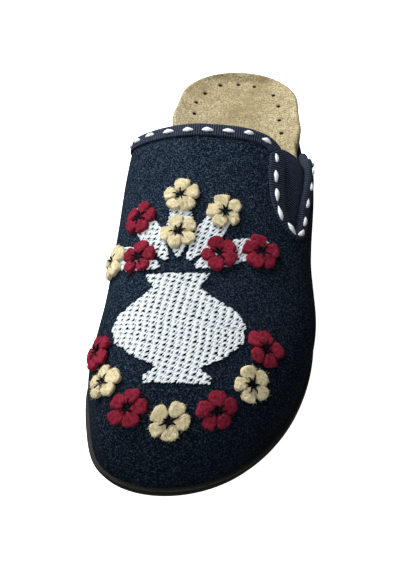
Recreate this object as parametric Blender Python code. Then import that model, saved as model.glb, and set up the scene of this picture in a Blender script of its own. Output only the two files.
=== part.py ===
"""Wedge slipper for the left foot: sole, footbed, upper, trim and felt flowers.

x points to the outer side of the foot, y to the heel and z up. The floor is z = 0.
Tables are in millimetres and degrees; a station is the share of the length from heel to toe.
"""
import bmesh
import bpy
import numpy as np

MM = 0.001
GAP = 0.3 * MM


def table(columns, rows):
    """The named columns of a short table, each as an array."""
    return dict(zip(columns.split(), np.array(rows, float).T))


# Sole outline, seen from above
LENGTH = 252 * MM
HEEL_RADIUS = 39.5 * MM
TOE_RADIUS = 43 * MM
HEEL_CENTRE = -0.5
TOE_CENTRE = -12.8
OUTLINE = table("station half_width centre", [
    (0.065, 29.9, -1.3),
    (0.12, 32.8, -1.6),
    (0.18, 34.9, -1.2),
    (0.25, 37.6, 0.0),
    (0.40, 39.7, 0.4),
    (0.55, 44.4, 0.2),
    (0.70, 47.9, 0.5),
    (0.82, 45.0, -2.7),
    (0.92, 34.8, -6.7),
])

# Sole heights: the top is a table, the bottom is flat under the heel and the ball
SOLE_TOP = table("station height", [
    (0.00, 38.0),
    (0.15, 37.0),
    (0.30, 32.5),
    (0.45, 26.0),
    (0.60, 19.5),
    (0.72, 17.0),
    (0.85, 17.5),
    (1.00, 21.0),
])
HEEL_BEVEL_END = 0.05
HEEL_BEVEL_RISE = 2.0 * MM
ARCH_START = 0.32
ARCH_END = 0.56
ARCH_RISE = 3.0 * MM
SPRING_START = 0.80
TOE_SPRING = 12.5 * MM

# Side of the sole from the tread up to its lip: inset from the outline, and height from either edge
SIDE_FROM_BOTTOM = table("inset rise", [
    (4.5, 0.0),
    (3.5, 1.2),
])
SIDE_FROM_TOP = table("inset drop", [
    (0.8, 4.6),
    (1.8, 4.3),
    (1.8, 3.3),
    (0.0, 3.1),
    (0.0, 0.6),
    (0.6, 0.0),
])

# Tread: channels across the heel and the forefoot, closed at the sole's edge
CHANNELS = np.array([0.10, 0.155, 0.21, 0.265, 0.61, 0.66, 0.71, 0.76])
CHANNEL_WIDTH = 0.016
CHANNEL_FLANK = 0.0025
CHANNEL_DEPTH = 2.0 * MM
TREAD_COLUMNS = np.array([1.0, 0.82, 0.80, 0.0, -0.80, -0.82, -1.0])
CHANNEL_REACH = 0.81
HEEL_ROWS = [0.0, 0.003, 0.012, 0.028, 0.05]
WAIST_ROWS = [0.33, 0.37, 0.41, 0.45, 0.49, 0.53, 0.565]
TOE_ROWS = [0.80, 0.83, 0.865, 0.90, 0.93, 0.955, 0.975, 0.99, 0.998, 1.0]

# Upper: sections across the foot standing on a line just inside the outline
RIM = 1.5 * MM
WALL = 1.6 * MM
TIP = LENGTH / 2 - RIM
TOE_PROFILE_RADIUS = 22 * MM
TOE_SQUARENESS = 2.3
UPPER = table("station rise ridge inner_swell outer_swell squareness", [
    (0.18, 64.0, -8.5, 7.4, -0.5, 2.6),
    (0.30, 63.0, -8.5, 10.6, 1.0, 2.6),
    (0.42, 59.5, -8.5, 10.8, 5.6, 2.6),
    (0.55, 52.5, -8.5, 6.0, 2.6, 2.45),
    (0.70, 44.1, -9.0, 1.5, 3.4, 2.45),
    (0.82, 38.6, -9.5, 0.5, 1.0, 2.5),
    (0.92, 29.0, -11.0, 0.2, 0.3, 2.5),
])
SWELL_PEAK = 0.65

# Slit for the gore: an opening between two angles that widens from its tip to the collar
SLIT_TIP = -14 * MM
SLIT_ROUND = 8 * MM
SLIT = table("y centre half", [
    (-14.0, 42.3, 6.5),
    (-8.0, 43.3, 7.4),
    (0.0, 44.4, 8.7),
    (17.0, 44.2, 10.9),
    (40.0, 43.5, 14.5),
])
SLIT_CENTRE_TIP = SLIT["centre"][0]

# Edge of the upper: share across the vamp from the slit to the inner feather line
COLLAR = table("share y", [
    (0.000, 12.0),
    (0.005, 15.0),
    (0.020, 18.0),
    (0.035, 19.4),
    (0.062, 20.5),
    (0.095, 20.8),
    (0.130, 20.8),
    (0.220, 20.1),
    (0.310, 19.6),
    (0.400, 19.8),
    (0.500, 21.1),
    (0.600, 23.2),
    (0.680, 25.9),
    (0.740, 29.0),
    (0.800, 33.6),
    (0.870, 42.2),
    (0.930, 52.5),
    (0.970, 61.0),
    (1.000, 68.0),
])
# and across the outer quarter from the outer feather line to the slit
QUARTER = table("share y", [
    (0.00, 66.0),
    (0.15, 60.5),
    (0.30, 52.5),
    (0.45, 45.0),
    (0.60, 39.0),
    (0.75, 34.8),
    (0.88, 31.5),
    (0.96, 28.2),
    (1.00, 23.8),
])
VAMP_CORNER = [0.0, 0.005, 0.02, 0.042, 0.07, 0.11]
VAMP_FEATHER = [0.96, 0.975, 0.988, 1.0]
VAMP_TOP = np.linspace(0.16, 0.56, 6)
VAMP_INNER_SIDE = np.linspace(0.60, 0.92, 8)
VAMP_SHARES = np.concatenate([VAMP_CORNER, VAMP_TOP, VAMP_INNER_SIDE, VAMP_FEATHER])
QUARTER_SHARES = np.array([0.0, 0.06, 0.15, 0.30, 0.45, 0.60, 0.75, 0.88, 0.96, 1.0])
FRONT_ROWS = 16
REAR_ROWS = 10
REAR_SPACING = 2.0

# Footbed: set inside the upper in front and reaching the rim at the heel
FOOTBED_HEEL_INSET = 0.5 * MM
FOOTBED_COVERED_INSET = RIM + WALL + 1.4 * MM
COVER_START_INNER = 86 * MM
COVER_START_OUTER = 89 * MM
COVER_RUN = 14 * MM
FOOTBED = table("station thickness cup arch", [
    (0.00, 6.5, 3.5, 0.0),
    (0.15, 6.0, 3.8, 0.0),
    (0.30, 6.0, 3.2, 2.0),
    (0.45, 6.0, 1.8, 4.5),
    (0.60, 6.2, 0.8, 1.5),
    (0.80, 5.5, 0.5, 0.0),
    (1.00, 5.0, 0.4, 0.0),
])
FOOTBED_COLUMNS = np.array([1.0, 0.88, 0.66, 0.36, 0.0, -0.36, -0.66, -0.88, -1.0])
FOOTBED_SIDE = table("inset rise drop", [
    (0.6, 0.0, 0.0),
    (0.0, 0.6, 0.0),
    (0.0, 0.0, 1.4),
    (0.5, 0.0, 0.4),
    (1.5, 0.0, 0.0),
])
FOOTBED_ROWS = 38
FOOTBED_END = 0.02
FOOTBED_BOTTOM_LEVELS = 2
ARCH_WIDTH = 0.9
CUP_POWER = 3

# Binding: a folded tape; reach runs in from the edge, height runs out from the upper's face
TAPE_GAP = 0.35 * MM
TAPE = 0.6 * MM
TAPE_WIDTH = table("from_tip width", [
    (-60.0, 5.2),
    (-46.0, 5.2),
    (-30.0, 7.2),
    (-16.0, 6.4),
    (0.0, 3.0),
    (12.0, 3.6),
    (40.0, 4.0),
])
TAPE_INSIDE = 3.0 * MM
TAPE_FEATHER_SHARE = 0.03
TAPE_SPACING = 3.7 * MM
TAPE_TURN_WEIGHT = 4.0 * MM
PATH_POINTS = 200

# Gore: a panel behind the slit
GORE_DEPTH = WALL + TAPE_GAP + TAPE + GAP
GORE_WALL = 1.0 * MM
GORE_LAP = 5.0
GORE_LAP_FRONT = 5 * MM
GORE_REAR_LOW = 24 * MM
GORE_REAR_HIGH = 19 * MM
GORE_ROWS = 12
GORE_COLUMNS = 8

# Decoration: measured along a spine on the vamp (b) and across it (a)
SPINE = table("y angle", [
    (-120.0, 84.0),
    (-112.0, 84.0),
    (-60.0, 92.0),
    (-12.0, 99.0),
    (10.0, 100.0),
])
SPINE_START = -112 * MM
DECORATION_TURN = np.radians(6)
PATCH_GAP = 0.45 * MM
PATCH = 0.8 * MM
VASE = table("b half_width", [
    (18.0, 13.0),
    (21.0, 13.5),
    (24.5, 8.5),
    (30.0, 19.0),
    (37.0, 27.0),
    (44.0, 29.0),
    (51.0, 25.0),
    (57.0, 15.0),
    (61.5, 9.5),
    (65.5, 12.5),
    (68.0, 13.5),
])
VASE_COLUMNS = np.linspace(-1, 1, 13)
LEAF_ROOT_B = 67.5 * MM
LEAF_ANGLES = (-64, -32, 0, 32, 64)
LEAF_START = 8 * MM
LEAF_END = 42 * MM
LEAF_HALF_WIDTH = 5.5 * MM
LEAF_ROWS = 7
LEAF_COLUMNS = np.linspace(-1, 1, 5)
LEAF_NOSE = 0.06

FLOWER_LIFT = PATCH_GAP + PATCH + GAP
FLOWER_RADIUS = 8.5 * MM
FLOWER_HEIGHT = 3.2 * MM
FLOWER_PETALS = 5
FLOWER_NOTCH = 0.30
PETAL_FULLNESS = 0.7
FLOWER_POINTS = 20
FLOWER_RINGS = table("share height", [
    (0.94, 0.0),
    (1.00, 0.5),
    (0.60, 1.0),
])
FLOWERS_RED = table("a b turn", [
    (-17.0, 77.0, 10),
    (17.0, 77.0, 40),
    (-18.5, 97.0, 0),
    (34.0, 80.0, 20),
    (-36.0, 36.0, 30),
    (-17.0, 8.0, 5),
    (17.0, 8.0, 25),
    (36.0, 36.0, 0),
])
FLOWERS_CREAM = table("a b turn", [
    (0.0, 87.0, 36),
    (-33.0, 81.0, 12),
    (0.0, 104.5, 20),
    (18.5, 97.0, 30),
    (-30.0, 20.0, 18),
    (0.0, 3.5, 0),
    (30.0, 20.0, 40),
])

# Looks: red, green, blue and roughness
LOOKS = {
    "outsole": (0.012, 0.013, 0.015, 0.6),
    "footbed": (0.45, 0.37, 0.22, 0.9),
    "upper": (0.013, 0.019, 0.032, 0.95),
    "collar_binding": (0.016, 0.022, 0.036, 0.8),
    "elastic_gore": (0.012, 0.016, 0.026, 0.85),
    "embroidered": (0.80, 0.84, 0.88, 0.6),
    "felt_flower_red": (0.30, 0.008, 0.02, 0.95),
    "felt_flower_cream": (0.72, 0.58, 0.26, 0.95),
}

# Steps for tangents and for walking over the upper's face
DIFFERENCE = 0.2 * MM
ANGLE_DIFFERENCE = 0.002
WALK_STEPS = 12
ANGLE_MARGIN = np.radians(1.2)


def unit(vectors):
    """Vectors scaled to length one."""
    return vectors / np.linalg.norm(vectors, axis=-1, keepdims=True)


def dot(a, b):
    """Row by row scalar product, kept as a column."""
    return (a * b).sum(axis=-1, keepdims=True)


def through(x, xs, ys):
    """Smooth cubic curve through the rows of a table."""
    slopes = np.gradient(ys, xs)
    i = np.clip(np.searchsorted(xs, x) - 1, 0, len(xs) - 2)
    span = xs[i + 1] - xs[i]
    u = (x - xs[i]) / span
    start = (1 + 2 * u) * (1 - u) ** 2 * ys[i] + u * (1 - u) ** 2 * span * slopes[i]
    end = u * u * (3 - 2 * u) * ys[i + 1] + u * u * (u - 1) * span * slopes[i + 1]
    return start + end


def smooth(u):
    """Soft step from nought to one."""
    u = np.clip(u, 0, 1)
    return u * u * (3 - 2 * u)


def station_of(y):
    """Share of the length from the heel."""
    return np.clip(0.5 - y / LENGTH, 0, 1)


def edges(y, inset):
    """Inner and outer x of the outline, moved in by an inset; both ends are round."""
    length = LENGTH - 2 * inset
    share = np.clip(0.5 - y / length, 0, 1)
    rows = OUTLINE["station"]
    heel = np.sqrt(2 * (HEEL_RADIUS - inset) * length)
    toe = np.sqrt(2 * (TOE_RADIUS - inset) * length)
    middle = (OUTLINE["half_width"] * MM - inset) / np.sqrt(rows * (1 - rows))
    stations = np.concatenate([[0], rows, [1]])
    fullness = through(share, stations, np.concatenate([[heel], middle, [toe]]))
    half = fullness * np.sqrt(share * (1 - share))
    centre = through(share, stations, np.concatenate([[HEEL_CENTRE], OUTLINE["centre"], [TOE_CENTRE]])) * MM
    return centre - half, centre + half


def sole_top(y):
    """Height of the sole's upper face."""
    return through(station_of(y), SOLE_TOP["station"], SOLE_TOP["height"]) * MM


def sole_bottom(station):
    """Height of the tread: flat heel and ball, hollow arch, bevelled heel and toe spring."""
    heel = np.clip((HEEL_BEVEL_END - station) / HEEL_BEVEL_END, 0, None) ** 2
    arch = np.clip((station - ARCH_START) / (ARCH_END - ARCH_START), 0, 1)
    toe = np.clip((station - SPRING_START) / (1 - SPRING_START), 0, None) ** 2
    return HEEL_BEVEL_RISE * heel + ARCH_RISE * np.sin(np.pi * arch) ** 2 + TOE_SPRING * toe


def upper_point(y, angle):
    """Outer face of the upper: a swollen superellipse over the foot at y, outer side at angle 0."""
    station = station_of(y)
    last = 0.5 + TIP / LENGTH
    stations = np.append(UPPER["station"], last)

    def column(name, at_tip):
        return through(station, stations, np.append(UPPER[name], at_tip))

    tip_fullness = np.sqrt(2 * TOE_PROFILE_RADIUS * LENGTH)
    fullness = np.append(UPPER["rise"] * MM / np.sqrt(last - UPPER["station"]), tip_fullness)
    rise = through(station, stations, fullness) * np.sqrt(np.clip((y + TIP) / LENGTH, 0, None))
    inner, outer = edges(y, RIM)
    ridge = np.clip(column("ridge", TOE_CENTRE) * MM, inner, outer)
    power = 2 / column("squareness", TOE_SQUARENESS)
    cosine = np.cos(angle)
    reach = np.where(cosine > 0, outer - ridge, ridge - inner)
    swell = np.where(cosine > 0, column("outer_swell", 0), column("inner_swell", 0)) * MM
    bulge = swell * np.sin(2 * angle) * cosine ** 2 / SWELL_PEAK
    x = ridge + np.sign(cosine) * reach * np.abs(cosine) ** power + bulge
    z = sole_top(y) + GAP + rise * np.abs(np.sin(angle)) ** power
    return np.stack(np.broadcast_arrays(x, y, z), axis=-1)


def upper_tangents(y, angle):
    """Lengthwise and crosswise tangents of the upper's face."""
    step = np.minimum(DIFFERENCE, (y + TIP) / 4)
    along = (upper_point(y + step, angle) - upper_point(y - step, angle)) / (2 * step)[..., None]
    low = np.maximum(angle - ANGLE_DIFFERENCE, 0)
    high = np.minimum(angle + ANGLE_DIFFERENCE, np.pi)
    across = (upper_point(y, high) - upper_point(y, low)) / (high - low)[..., None]
    return along, across


def upper_normal(y, angle):
    """Outward normal of the upper's face."""
    along, across = upper_tangents(y, angle)
    return unit(np.cross(along, across))


def walk(y, angle, heading, distance):
    """Follow the upper's face from a place for a distance in a heading."""
    step = (distance / WALK_STEPS)[..., None]
    for _ in range(WALK_STEPS):
        along, across = upper_tangents(y, angle)
        normal = unit(np.cross(along, across))
        heading = unit(heading - dot(heading, normal) * normal)
        aa, bb, ab = dot(along, along), dot(across, across), dot(along, across)
        ha, hb = dot(heading, along), dot(heading, across)
        scale = step / (aa * bb - ab * ab)
        y = y + (scale * (ha * bb - hb * ab))[..., 0]
        angle = angle + (scale * (hb * aa - ha * ab))[..., 0]
        angle = np.clip(angle, ANGLE_MARGIN, np.pi - ANGLE_MARGIN)
    return y, angle


def slit_angles(y):
    """Lower and upper angle of the slit's edges at y; both are the same in front of its tip."""
    row = np.clip(y / MM, SLIT["y"][0], SLIT["y"][-1])
    nose = np.clip((y - SLIT_TIP) / SLIT_ROUND, 0, 1)
    centre = through(row, SLIT["y"], SLIT["centre"])
    half = through(row, SLIT["y"], SLIT["half"]) * np.sqrt(nose * (2 - nose))
    return np.radians(centre - half), np.radians(centre + half)


def vamp_angle(y, share):
    """Angle on the vamp, from the slit's upper edge to the inner feather line."""
    _, start = slit_angles(y)
    return start + (np.pi - start) * share


def quarter_angle(y, share):
    """Angle on the outer quarter, from the outer feather line to the slit's lower edge."""
    end, _ = slit_angles(y)
    return end * share


def collar_y(share):
    """y of the collar at a share across the vamp."""
    return through(share, COLLAR["share"], COLLAR["y"]) * MM


def quarter_y(share):
    """y of the rear edge at a share across the outer quarter."""
    return through(share, QUARTER["share"], QUARTER["y"]) * MM


def faces_of(index):
    """Quads of a grid of vertex numbers; repeated corners collapse to triangles."""
    corners = np.stack([index[:-1, :-1], index[:-1, 1:], index[1:, 1:], index[1:, :-1]], axis=-1)
    faces = [tuple(dict.fromkeys(face)) for face in corners.reshape(-1, 4).tolist()]
    return [face for face in faces if len(face) > 2]


def make(name, points, faces, look):
    """One closed object with its own material and outward faces."""
    *colour, roughness = LOOKS[look]
    mesh = bpy.data.meshes.new(name)
    mesh.from_pydata(np.asarray(points).tolist(), [], faces)
    shape = bmesh.new()
    shape.from_mesh(mesh)
    bmesh.ops.recalc_face_normals(shape, faces=shape.faces)
    shape.to_mesh(mesh)
    shape.free()
    material = bpy.data.materials.new(name)
    material.use_nodes = True
    shader = material.node_tree.nodes["Principled BSDF"]
    shader.inputs["Base Color"].default_value = (*colour, 1.0)
    shader.inputs["Roughness"].default_value = roughness
    material.diffuse_color = (*colour, 1.0)
    mesh.materials.append(material)
    thing = bpy.data.objects.new(name, mesh)
    bpy.context.scene.collection.objects.link(thing)
    return thing


def sheet(name, outer, inner, faces, look):
    """A closed sheet between two like faces, with a wall along its border."""
    count = len(outer)
    directed = {(a, b) for face in faces for a, b in zip(face, face[1:] + face[:1])}
    border = [(a, b) for a, b in directed if (b, a) not in directed]
    walls = [(b, a, a + count, b + count) for a, b in sorted(border)]
    back = [tuple(corner + count for corner in reversed(face)) for face in faces]
    return make(name, np.concatenate([outer, inner]), faces + back + walls, look)


def ring_numbers(rows, start):
    """Numbers of a closed ring: outer side from heel to toe, then inner side back."""
    return start + np.arange(2 * rows - 2)


def ring_points(y, z, sides):
    """Points of such a ring from its rows; the first and last row are single points."""
    inner, outer = sides
    down = np.stack([outer, y, z], axis=-1)
    back = np.stack([inner, y, z], axis=-1)[1:-1][::-1]
    return np.concatenate([down, back])


def ring_sides(numbers, rows):
    """The outer and inner number of each row of a ring."""
    return numbers[:rows], np.concatenate([numbers[:1], numbers[rows:][::-1], numbers[rows - 1:rows]])


def stack_of_rings(rings, rows):
    """Side faces between stacked rings, and the numbers of the lowest and the highest ring."""
    numbers = [ring_numbers(rows, level * (2 * rows - 2)) for level in range(len(rings))]
    closed = np.array([np.append(row, row[:1]) for row in numbers])
    return faces_of(closed), numbers[0], numbers[-1]


def make_outsole():
    """The wedge: stacked rings for its side, a plain top and a tread with channels."""
    flank = CHANNEL_WIDTH / 2 + CHANNEL_FLANK
    offsets = np.array([-flank, -CHANNEL_WIDTH / 2, CHANNEL_WIDTH / 2, flank])
    channel_rows = (CHANNELS[:, None] + offsets).ravel()
    share = np.sort(np.concatenate([channel_rows, HEEL_ROWS, WAIST_ROWS, TOE_ROWS]))
    in_channel = np.min(np.abs(share[:, None] - CHANNELS), axis=1) < CHANNEL_WIDTH / 2 + CHANNEL_FLANK / 2
    rows = len(share)

    def level(inset):
        return (0.5 - share) * (LENGTH - 2 * inset)

    rings = []
    for inset, rise in zip(SIDE_FROM_BOTTOM["inset"] * MM, SIDE_FROM_BOTTOM["rise"] * MM):
        rings.append(ring_points(level(inset), sole_bottom(share) + rise, edges(level(inset), inset)))
    for inset, drop in zip(SIDE_FROM_TOP["inset"] * MM, SIDE_FROM_TOP["drop"] * MM):
        rings.append(ring_points(level(inset), sole_top(level(inset)) - drop, edges(level(inset), inset)))
    faces, lowest, highest = stack_of_rings(rings, rows)
    points = np.concatenate(rings)

    top = np.stack(ring_sides(highest, rows), axis=-1)
    faces += faces_of(top)

    inset = SIDE_FROM_BOTTOM["inset"][0] * MM
    inner, outer = edges(level(inset), inset)
    columns = TREAD_COLUMNS[1:-1]
    x = (inner + outer)[:, None] / 2 + (outer - inner)[:, None] / 2 * columns
    deep = in_channel[:, None] & (np.abs(columns) < CHANNEL_REACH)
    z = sole_bottom(share)[:, None] + CHANNEL_DEPTH * deep
    y = np.broadcast_to(level(inset)[:, None], x.shape)
    field = np.stack([x, y, z], axis=-1)[1:-1].reshape(-1, 3)
    numbers = len(points) + np.arange(len(field)).reshape(rows - 2, len(columns))
    outer_side, inner_side = ring_sides(lowest, rows)
    index = np.concatenate([outer_side[1:-1, None], numbers, inner_side[1:-1, None]], axis=1)
    heel = np.full((1, index.shape[1]), outer_side[0])
    toe = np.full((1, index.shape[1]), outer_side[-1])
    faces += faces_of(np.concatenate([heel, index, toe]))
    return make("outsole", np.concatenate([points, field]), faces, "outsole")


def footbed_sides(y, inset):
    """Edges of the footbed: near the outline at the heel, inside the upper's wall in front."""
    heel_inner, heel_outer = edges(y, FOOTBED_HEEL_INSET + inset)
    front_inner, front_outer = edges(y, FOOTBED_COVERED_INSET + inset)
    inner_share = smooth((COVER_START_INNER - y) / COVER_RUN)
    outer_share = smooth((COVER_START_OUTER - y) / COVER_RUN)
    inner = heel_inner + (front_inner - heel_inner) * inner_share
    outer = heel_outer + (front_outer - heel_outer) * outer_share
    return inner, outer


def footbed_top(y, column):
    """Height of the footbed: a cup at the heel and an arch on the inner side."""
    station = station_of(y)
    thickness = through(station, FOOTBED["station"], FOOTBED["thickness"])
    cup = through(station, FOOTBED["station"], FOOTBED["cup"]) * np.abs(column) ** CUP_POWER
    arch = through(station, FOOTBED["station"], FOOTBED["arch"]) * smooth(-column / ARCH_WIDTH)
    return sole_top(y) + (thickness + cup + arch) * MM


def make_footbed():
    """The footbed: stacked rings for its side, a plain bottom and a shaped top."""
    share = (1 - np.cos(np.linspace(0, np.pi, FOOTBED_ROWS))) / 2
    heel_end = LENGTH / 2 - FOOTBED_HEEL_INSET
    toe_end = -LENGTH / 2 + FOOTBED_COVERED_INSET

    def level(inset):
        return (heel_end - inset) + (toe_end - heel_end + 2 * inset) * share

    rings = []
    rows_of_side = zip(FOOTBED_SIDE["inset"] * MM, FOOTBED_SIDE["rise"] * MM, FOOTBED_SIDE["drop"] * MM)
    for number, (inset, rise, drop) in enumerate(rows_of_side):
        y = level(inset)
        inner, outer = footbed_sides(y, inset)
        heights = [footbed_top(y, 1) - drop, footbed_top(y, -1) - drop]
        if number < FOOTBED_BOTTOM_LEVELS:
            heights = [sole_top(y) + GAP + rise] * 2
        down = np.stack([outer, y, heights[0]], axis=-1)
        back = np.stack([inner, y, heights[1]], axis=-1)
        ends = (down[[0, -1]] + back[[0, -1]]) / 2
        down[[0, -1]] = ends
        rings.append(np.concatenate([down, back[1:-1][::-1]]))
    faces, lowest, highest = stack_of_rings(rings, FOOTBED_ROWS)
    points = np.concatenate(rings)
    faces += faces_of(np.stack(ring_sides(lowest, FOOTBED_ROWS), axis=-1))

    inset = FOOTBED_SIDE["inset"][-1] * MM
    y = level(inset)
    inner, outer = footbed_sides(y, inset)
    columns = FOOTBED_COLUMNS[1:-1]
    x = (inner + outer)[:, None] / 2 + (outer - inner)[:, None] / 2 * columns
    ends = smooth(np.minimum(share, 1 - share) / FOOTBED_END)[:, None]
    rim = (footbed_top(y, 1) + footbed_top(y, -1))[:, None] / 2
    z = rim + (footbed_top(y[:, None], columns) - rim) * ends
    field = np.stack([x, np.broadcast_to(y[:, None], x.shape), z], axis=-1)[1:-1].reshape(-1, 3)
    numbers = len(points) + np.arange(len(field)).reshape(FOOTBED_ROWS - 2, len(columns))
    outer_side, inner_side = ring_sides(highest, FOOTBED_ROWS)
    index = np.concatenate([outer_side[1:-1, None], numbers, inner_side[1:-1, None]], axis=1)
    heel = np.full((1, index.shape[1]), outer_side[0])
    toe = np.full((1, index.shape[1]), outer_side[-1])
    faces += faces_of(np.concatenate([heel, index, toe]))
    return make("footbed", np.concatenate([points, field]), faces, "footbed")


def rear_rows(ends):
    """y of the rows behind the slit's tip, closer together near the tip."""
    share = (np.arange(1, REAR_ROWS + 1) / REAR_ROWS) ** REAR_SPACING
    return SLIT_TIP + (ends - SLIT_TIP) * share[:, None]


def make_upper():
    """The upper: one front grid from the toe, then the vamp and the quarter on either side of the slit."""
    front_share = (np.arange(1, FRONT_ROWS + 1) / FRONT_ROWS) ** 2
    front_y = -TIP + (SLIT_TIP + TIP) * front_share[:, None]
    split = np.radians(SLIT_CENTRE_TIP)
    front_angles = np.concatenate([split * QUARTER_SHARES, (split + (np.pi - split) * VAMP_SHARES)[1:]])
    quarter_rows = rear_rows(quarter_y(QUARTER_SHARES))
    vamp_rows = rear_rows(collar_y(VAMP_SHARES))
    places = [
        np.broadcast_arrays(front_y, front_angles),
        (quarter_rows, quarter_angle(quarter_rows, QUARTER_SHARES)),
        (vamp_rows, vamp_angle(vamp_rows, VAMP_SHARES)),
    ]
    y = np.concatenate([place[0].ravel() for place in places])
    angle = np.concatenate([place[1].ravel() for place in places])
    outer = upper_point(y, angle)
    inner = outer - WALL * upper_normal(y, angle)
    tip = np.array([[TOE_CENTRE * MM, -TIP, sole_top(-TIP) + GAP]])
    outer = np.concatenate([tip, outer])
    inner = np.concatenate([tip + np.array([[0, WALL, 0]]), inner])
    border = np.concatenate([[True], np.isin(angle, (0.0, np.pi))])
    inner[border, 2] = outer[border, 2]

    columns = len(front_angles)
    front = 1 + np.arange(FRONT_ROWS * columns).reshape(FRONT_ROWS, columns)
    quarter = front.max() + 1 + np.arange(quarter_rows.size).reshape(quarter_rows.shape)
    vamp = quarter.max() + 1 + np.arange(vamp_rows.size).reshape(vamp_rows.shape)
    shared = len(QUARTER_SHARES)
    faces = faces_of(np.concatenate([np.zeros((1, columns), int), front]))
    faces += faces_of(np.concatenate([front[-1:, :shared], quarter]))
    faces += faces_of(np.concatenate([front[-1:, shared - 1:], vamp]))
    return sheet("upper", outer, inner, faces, "upper")


def edge_path():
    """Places along the upper's whole bound edge, from the inner feather line to the outer one."""
    collar = np.linspace(1 - TAPE_FEATHER_SHARE, 0, PATH_POINTS)
    collar_edge = (collar_y(collar), vamp_angle(collar_y(collar), collar))
    nose = np.linspace(1, 0, PATH_POINTS) ** 2
    high = SLIT_TIP + (collar_y(0.0) - SLIT_TIP) * nose
    low = (SLIT_TIP + (quarter_y(1.0) - SLIT_TIP) * nose)[-2::-1]
    rear = np.linspace(1, 2 * TAPE_FEATHER_SHARE, PATH_POINTS)
    rear_edge = (quarter_y(rear), quarter_angle(quarter_y(rear), rear))
    y = np.concatenate([collar_edge[0], high[1:], low, rear_edge[0][1:]])
    angles = [collar_edge[1], vamp_angle(high[1:], 0), quarter_angle(low, 1), rear_edge[1][1:]]
    angle = np.concatenate(angles)
    points = upper_point(y, angle)
    steps = np.diff(points, axis=0)
    lengths = np.linalg.norm(steps, axis=1)
    turns = np.append(0, np.linalg.norm(np.diff(unit(steps), axis=0), axis=1))
    run = np.concatenate([[0], np.cumsum(lengths + TAPE_TURN_WEIGHT * turns)])
    even = np.linspace(0, run[-1], int(run[-1] / TAPE_SPACING) + 1)
    return np.interp(even, run, y), np.interp(even, run, angle)


def make_binding():
    """The tape: a folded profile carried along the upper's edge."""
    y, angle = edge_path()
    points = upper_point(y, angle)
    normal = upper_normal(y, angle)
    ahead = unit(np.gradient(points, axis=0))
    heading = unit(np.cross(ahead, normal))
    run = np.append(0, np.cumsum(np.linalg.norm(np.diff(points, axis=0), axis=1)))
    from_tip = (run - run[np.argmin(y)]) / MM
    width = np.interp(from_tip, TAPE_WIDTH["from_tip"], TAPE_WIDTH["width"]) * MM
    outside = TAPE_GAP + TAPE
    inside = -WALL - TAPE_GAP
    wraps = [(-outside, 0), (-outside, -WALL), (0, inside - TAPE)]
    turns_in = [(-TAPE_GAP, inside), (-TAPE_GAP, TAPE_GAP)]

    def on_face(reach, height):
        there = walk(y, angle, heading, reach)
        return upper_point(*there) + height * upper_normal(*there)

    def off_edge(reach, height):
        return points + reach * heading + height * normal

    hem = np.full(len(y), TAPE_INSIDE)
    rings = [on_face(width, TAPE_GAP), on_face(width, outside), on_face(width / 2, outside)]
    rings += [off_edge(0, outside)] + [off_edge(*place) for place in wraps]
    rings += [on_face(hem, inside - TAPE), on_face(hem, inside)]
    rings += [off_edge(*place) for place in turns_in] + [on_face(width / 2, TAPE_GAP)]
    grid = np.stack(rings, axis=1)
    count = len(rings)
    index = np.arange(len(y) * count).reshape(len(y), count)
    faces = faces_of(np.concatenate([index, index[:, :1]], axis=1))
    cap = [(0, 1, 2, 11), (11, 2, 3, 10), (10, 3, 4), (10, 4, 5, 9), (9, 5, 6), (9, 6, 7, 8)]
    faces += [tuple(index[end][list(face)].tolist()) for end in (0, -1) for face in cap]
    return make("collar_binding", grid.reshape(-1, 3), faces, "collar_binding")


def make_gore():
    """The elastic panel behind the slit, lapping under both of its edges."""
    share = np.linspace(0, 1, GORE_COLUMNS)
    rear = GORE_REAR_LOW + (GORE_REAR_HIGH - GORE_REAR_LOW) * share
    front = SLIT_TIP - GORE_LAP_FRONT
    y = front + (rear - front) * np.linspace(0, 1, GORE_ROWS)[:, None]
    low, high = slit_angles(y)
    lap = np.radians(GORE_LAP)
    angle = (low - lap) + (high - low + 2 * lap) * share
    normal = upper_normal(y, angle)
    outer = (upper_point(y, angle) - GORE_DEPTH * normal).reshape(-1, 3)
    inner = outer - GORE_WALL * normal.reshape(-1, 3)
    faces = faces_of(np.arange(y.size).reshape(y.shape))
    return sheet("elastic_gore", outer, inner, faces, "elastic_gore")


def on_vamp(a, b, lift):
    """Place flat decoration on the vamp: along the spine by b, then across by a, then out by a lift."""
    spine_y = np.linspace(SPINE["y"][0], SPINE["y"][-1], PATH_POINTS) * MM
    spine_angle = np.radians(np.interp(spine_y / MM, SPINE["y"], SPINE["angle"]))
    spine = upper_point(spine_y, spine_angle)
    run = np.concatenate([[0], np.cumsum(np.linalg.norm(np.diff(spine, axis=0), axis=1))])
    run -= np.interp(SPINE_START, spine_y, run)
    y = np.interp(b, run, spine_y)
    angle = np.interp(b, run, spine_angle)
    heading = np.broadcast_to([np.cos(DECORATION_TURN), np.sin(DECORATION_TURN), 0], (*np.shape(y), 3))
    y, angle = walk(y, angle, heading, a)
    return upper_point(y, angle) + np.asarray(lift)[..., None] * upper_normal(y, angle)


def make_patch(name, a, b):
    """A thin filled patch of thread from a grid of flat places."""
    outer = on_vamp(a, b, np.full(a.shape, PATCH_GAP + PATCH)).reshape(-1, 3)
    inner = on_vamp(a, b, np.full(a.shape, PATCH_GAP)).reshape(-1, 3)
    faces = faces_of(np.arange(a.size).reshape(a.shape))
    return sheet(name, outer, inner, faces, "embroidered")


def make_vase():
    """The vase: rows of half widths up the spine."""
    b = np.broadcast_to(VASE["b"][:, None] * MM, (len(VASE["b"]), len(VASE_COLUMNS)))
    return make_patch("embroidered_vase", VASE["half_width"][:, None] * MM * VASE_COLUMNS, b)


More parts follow.
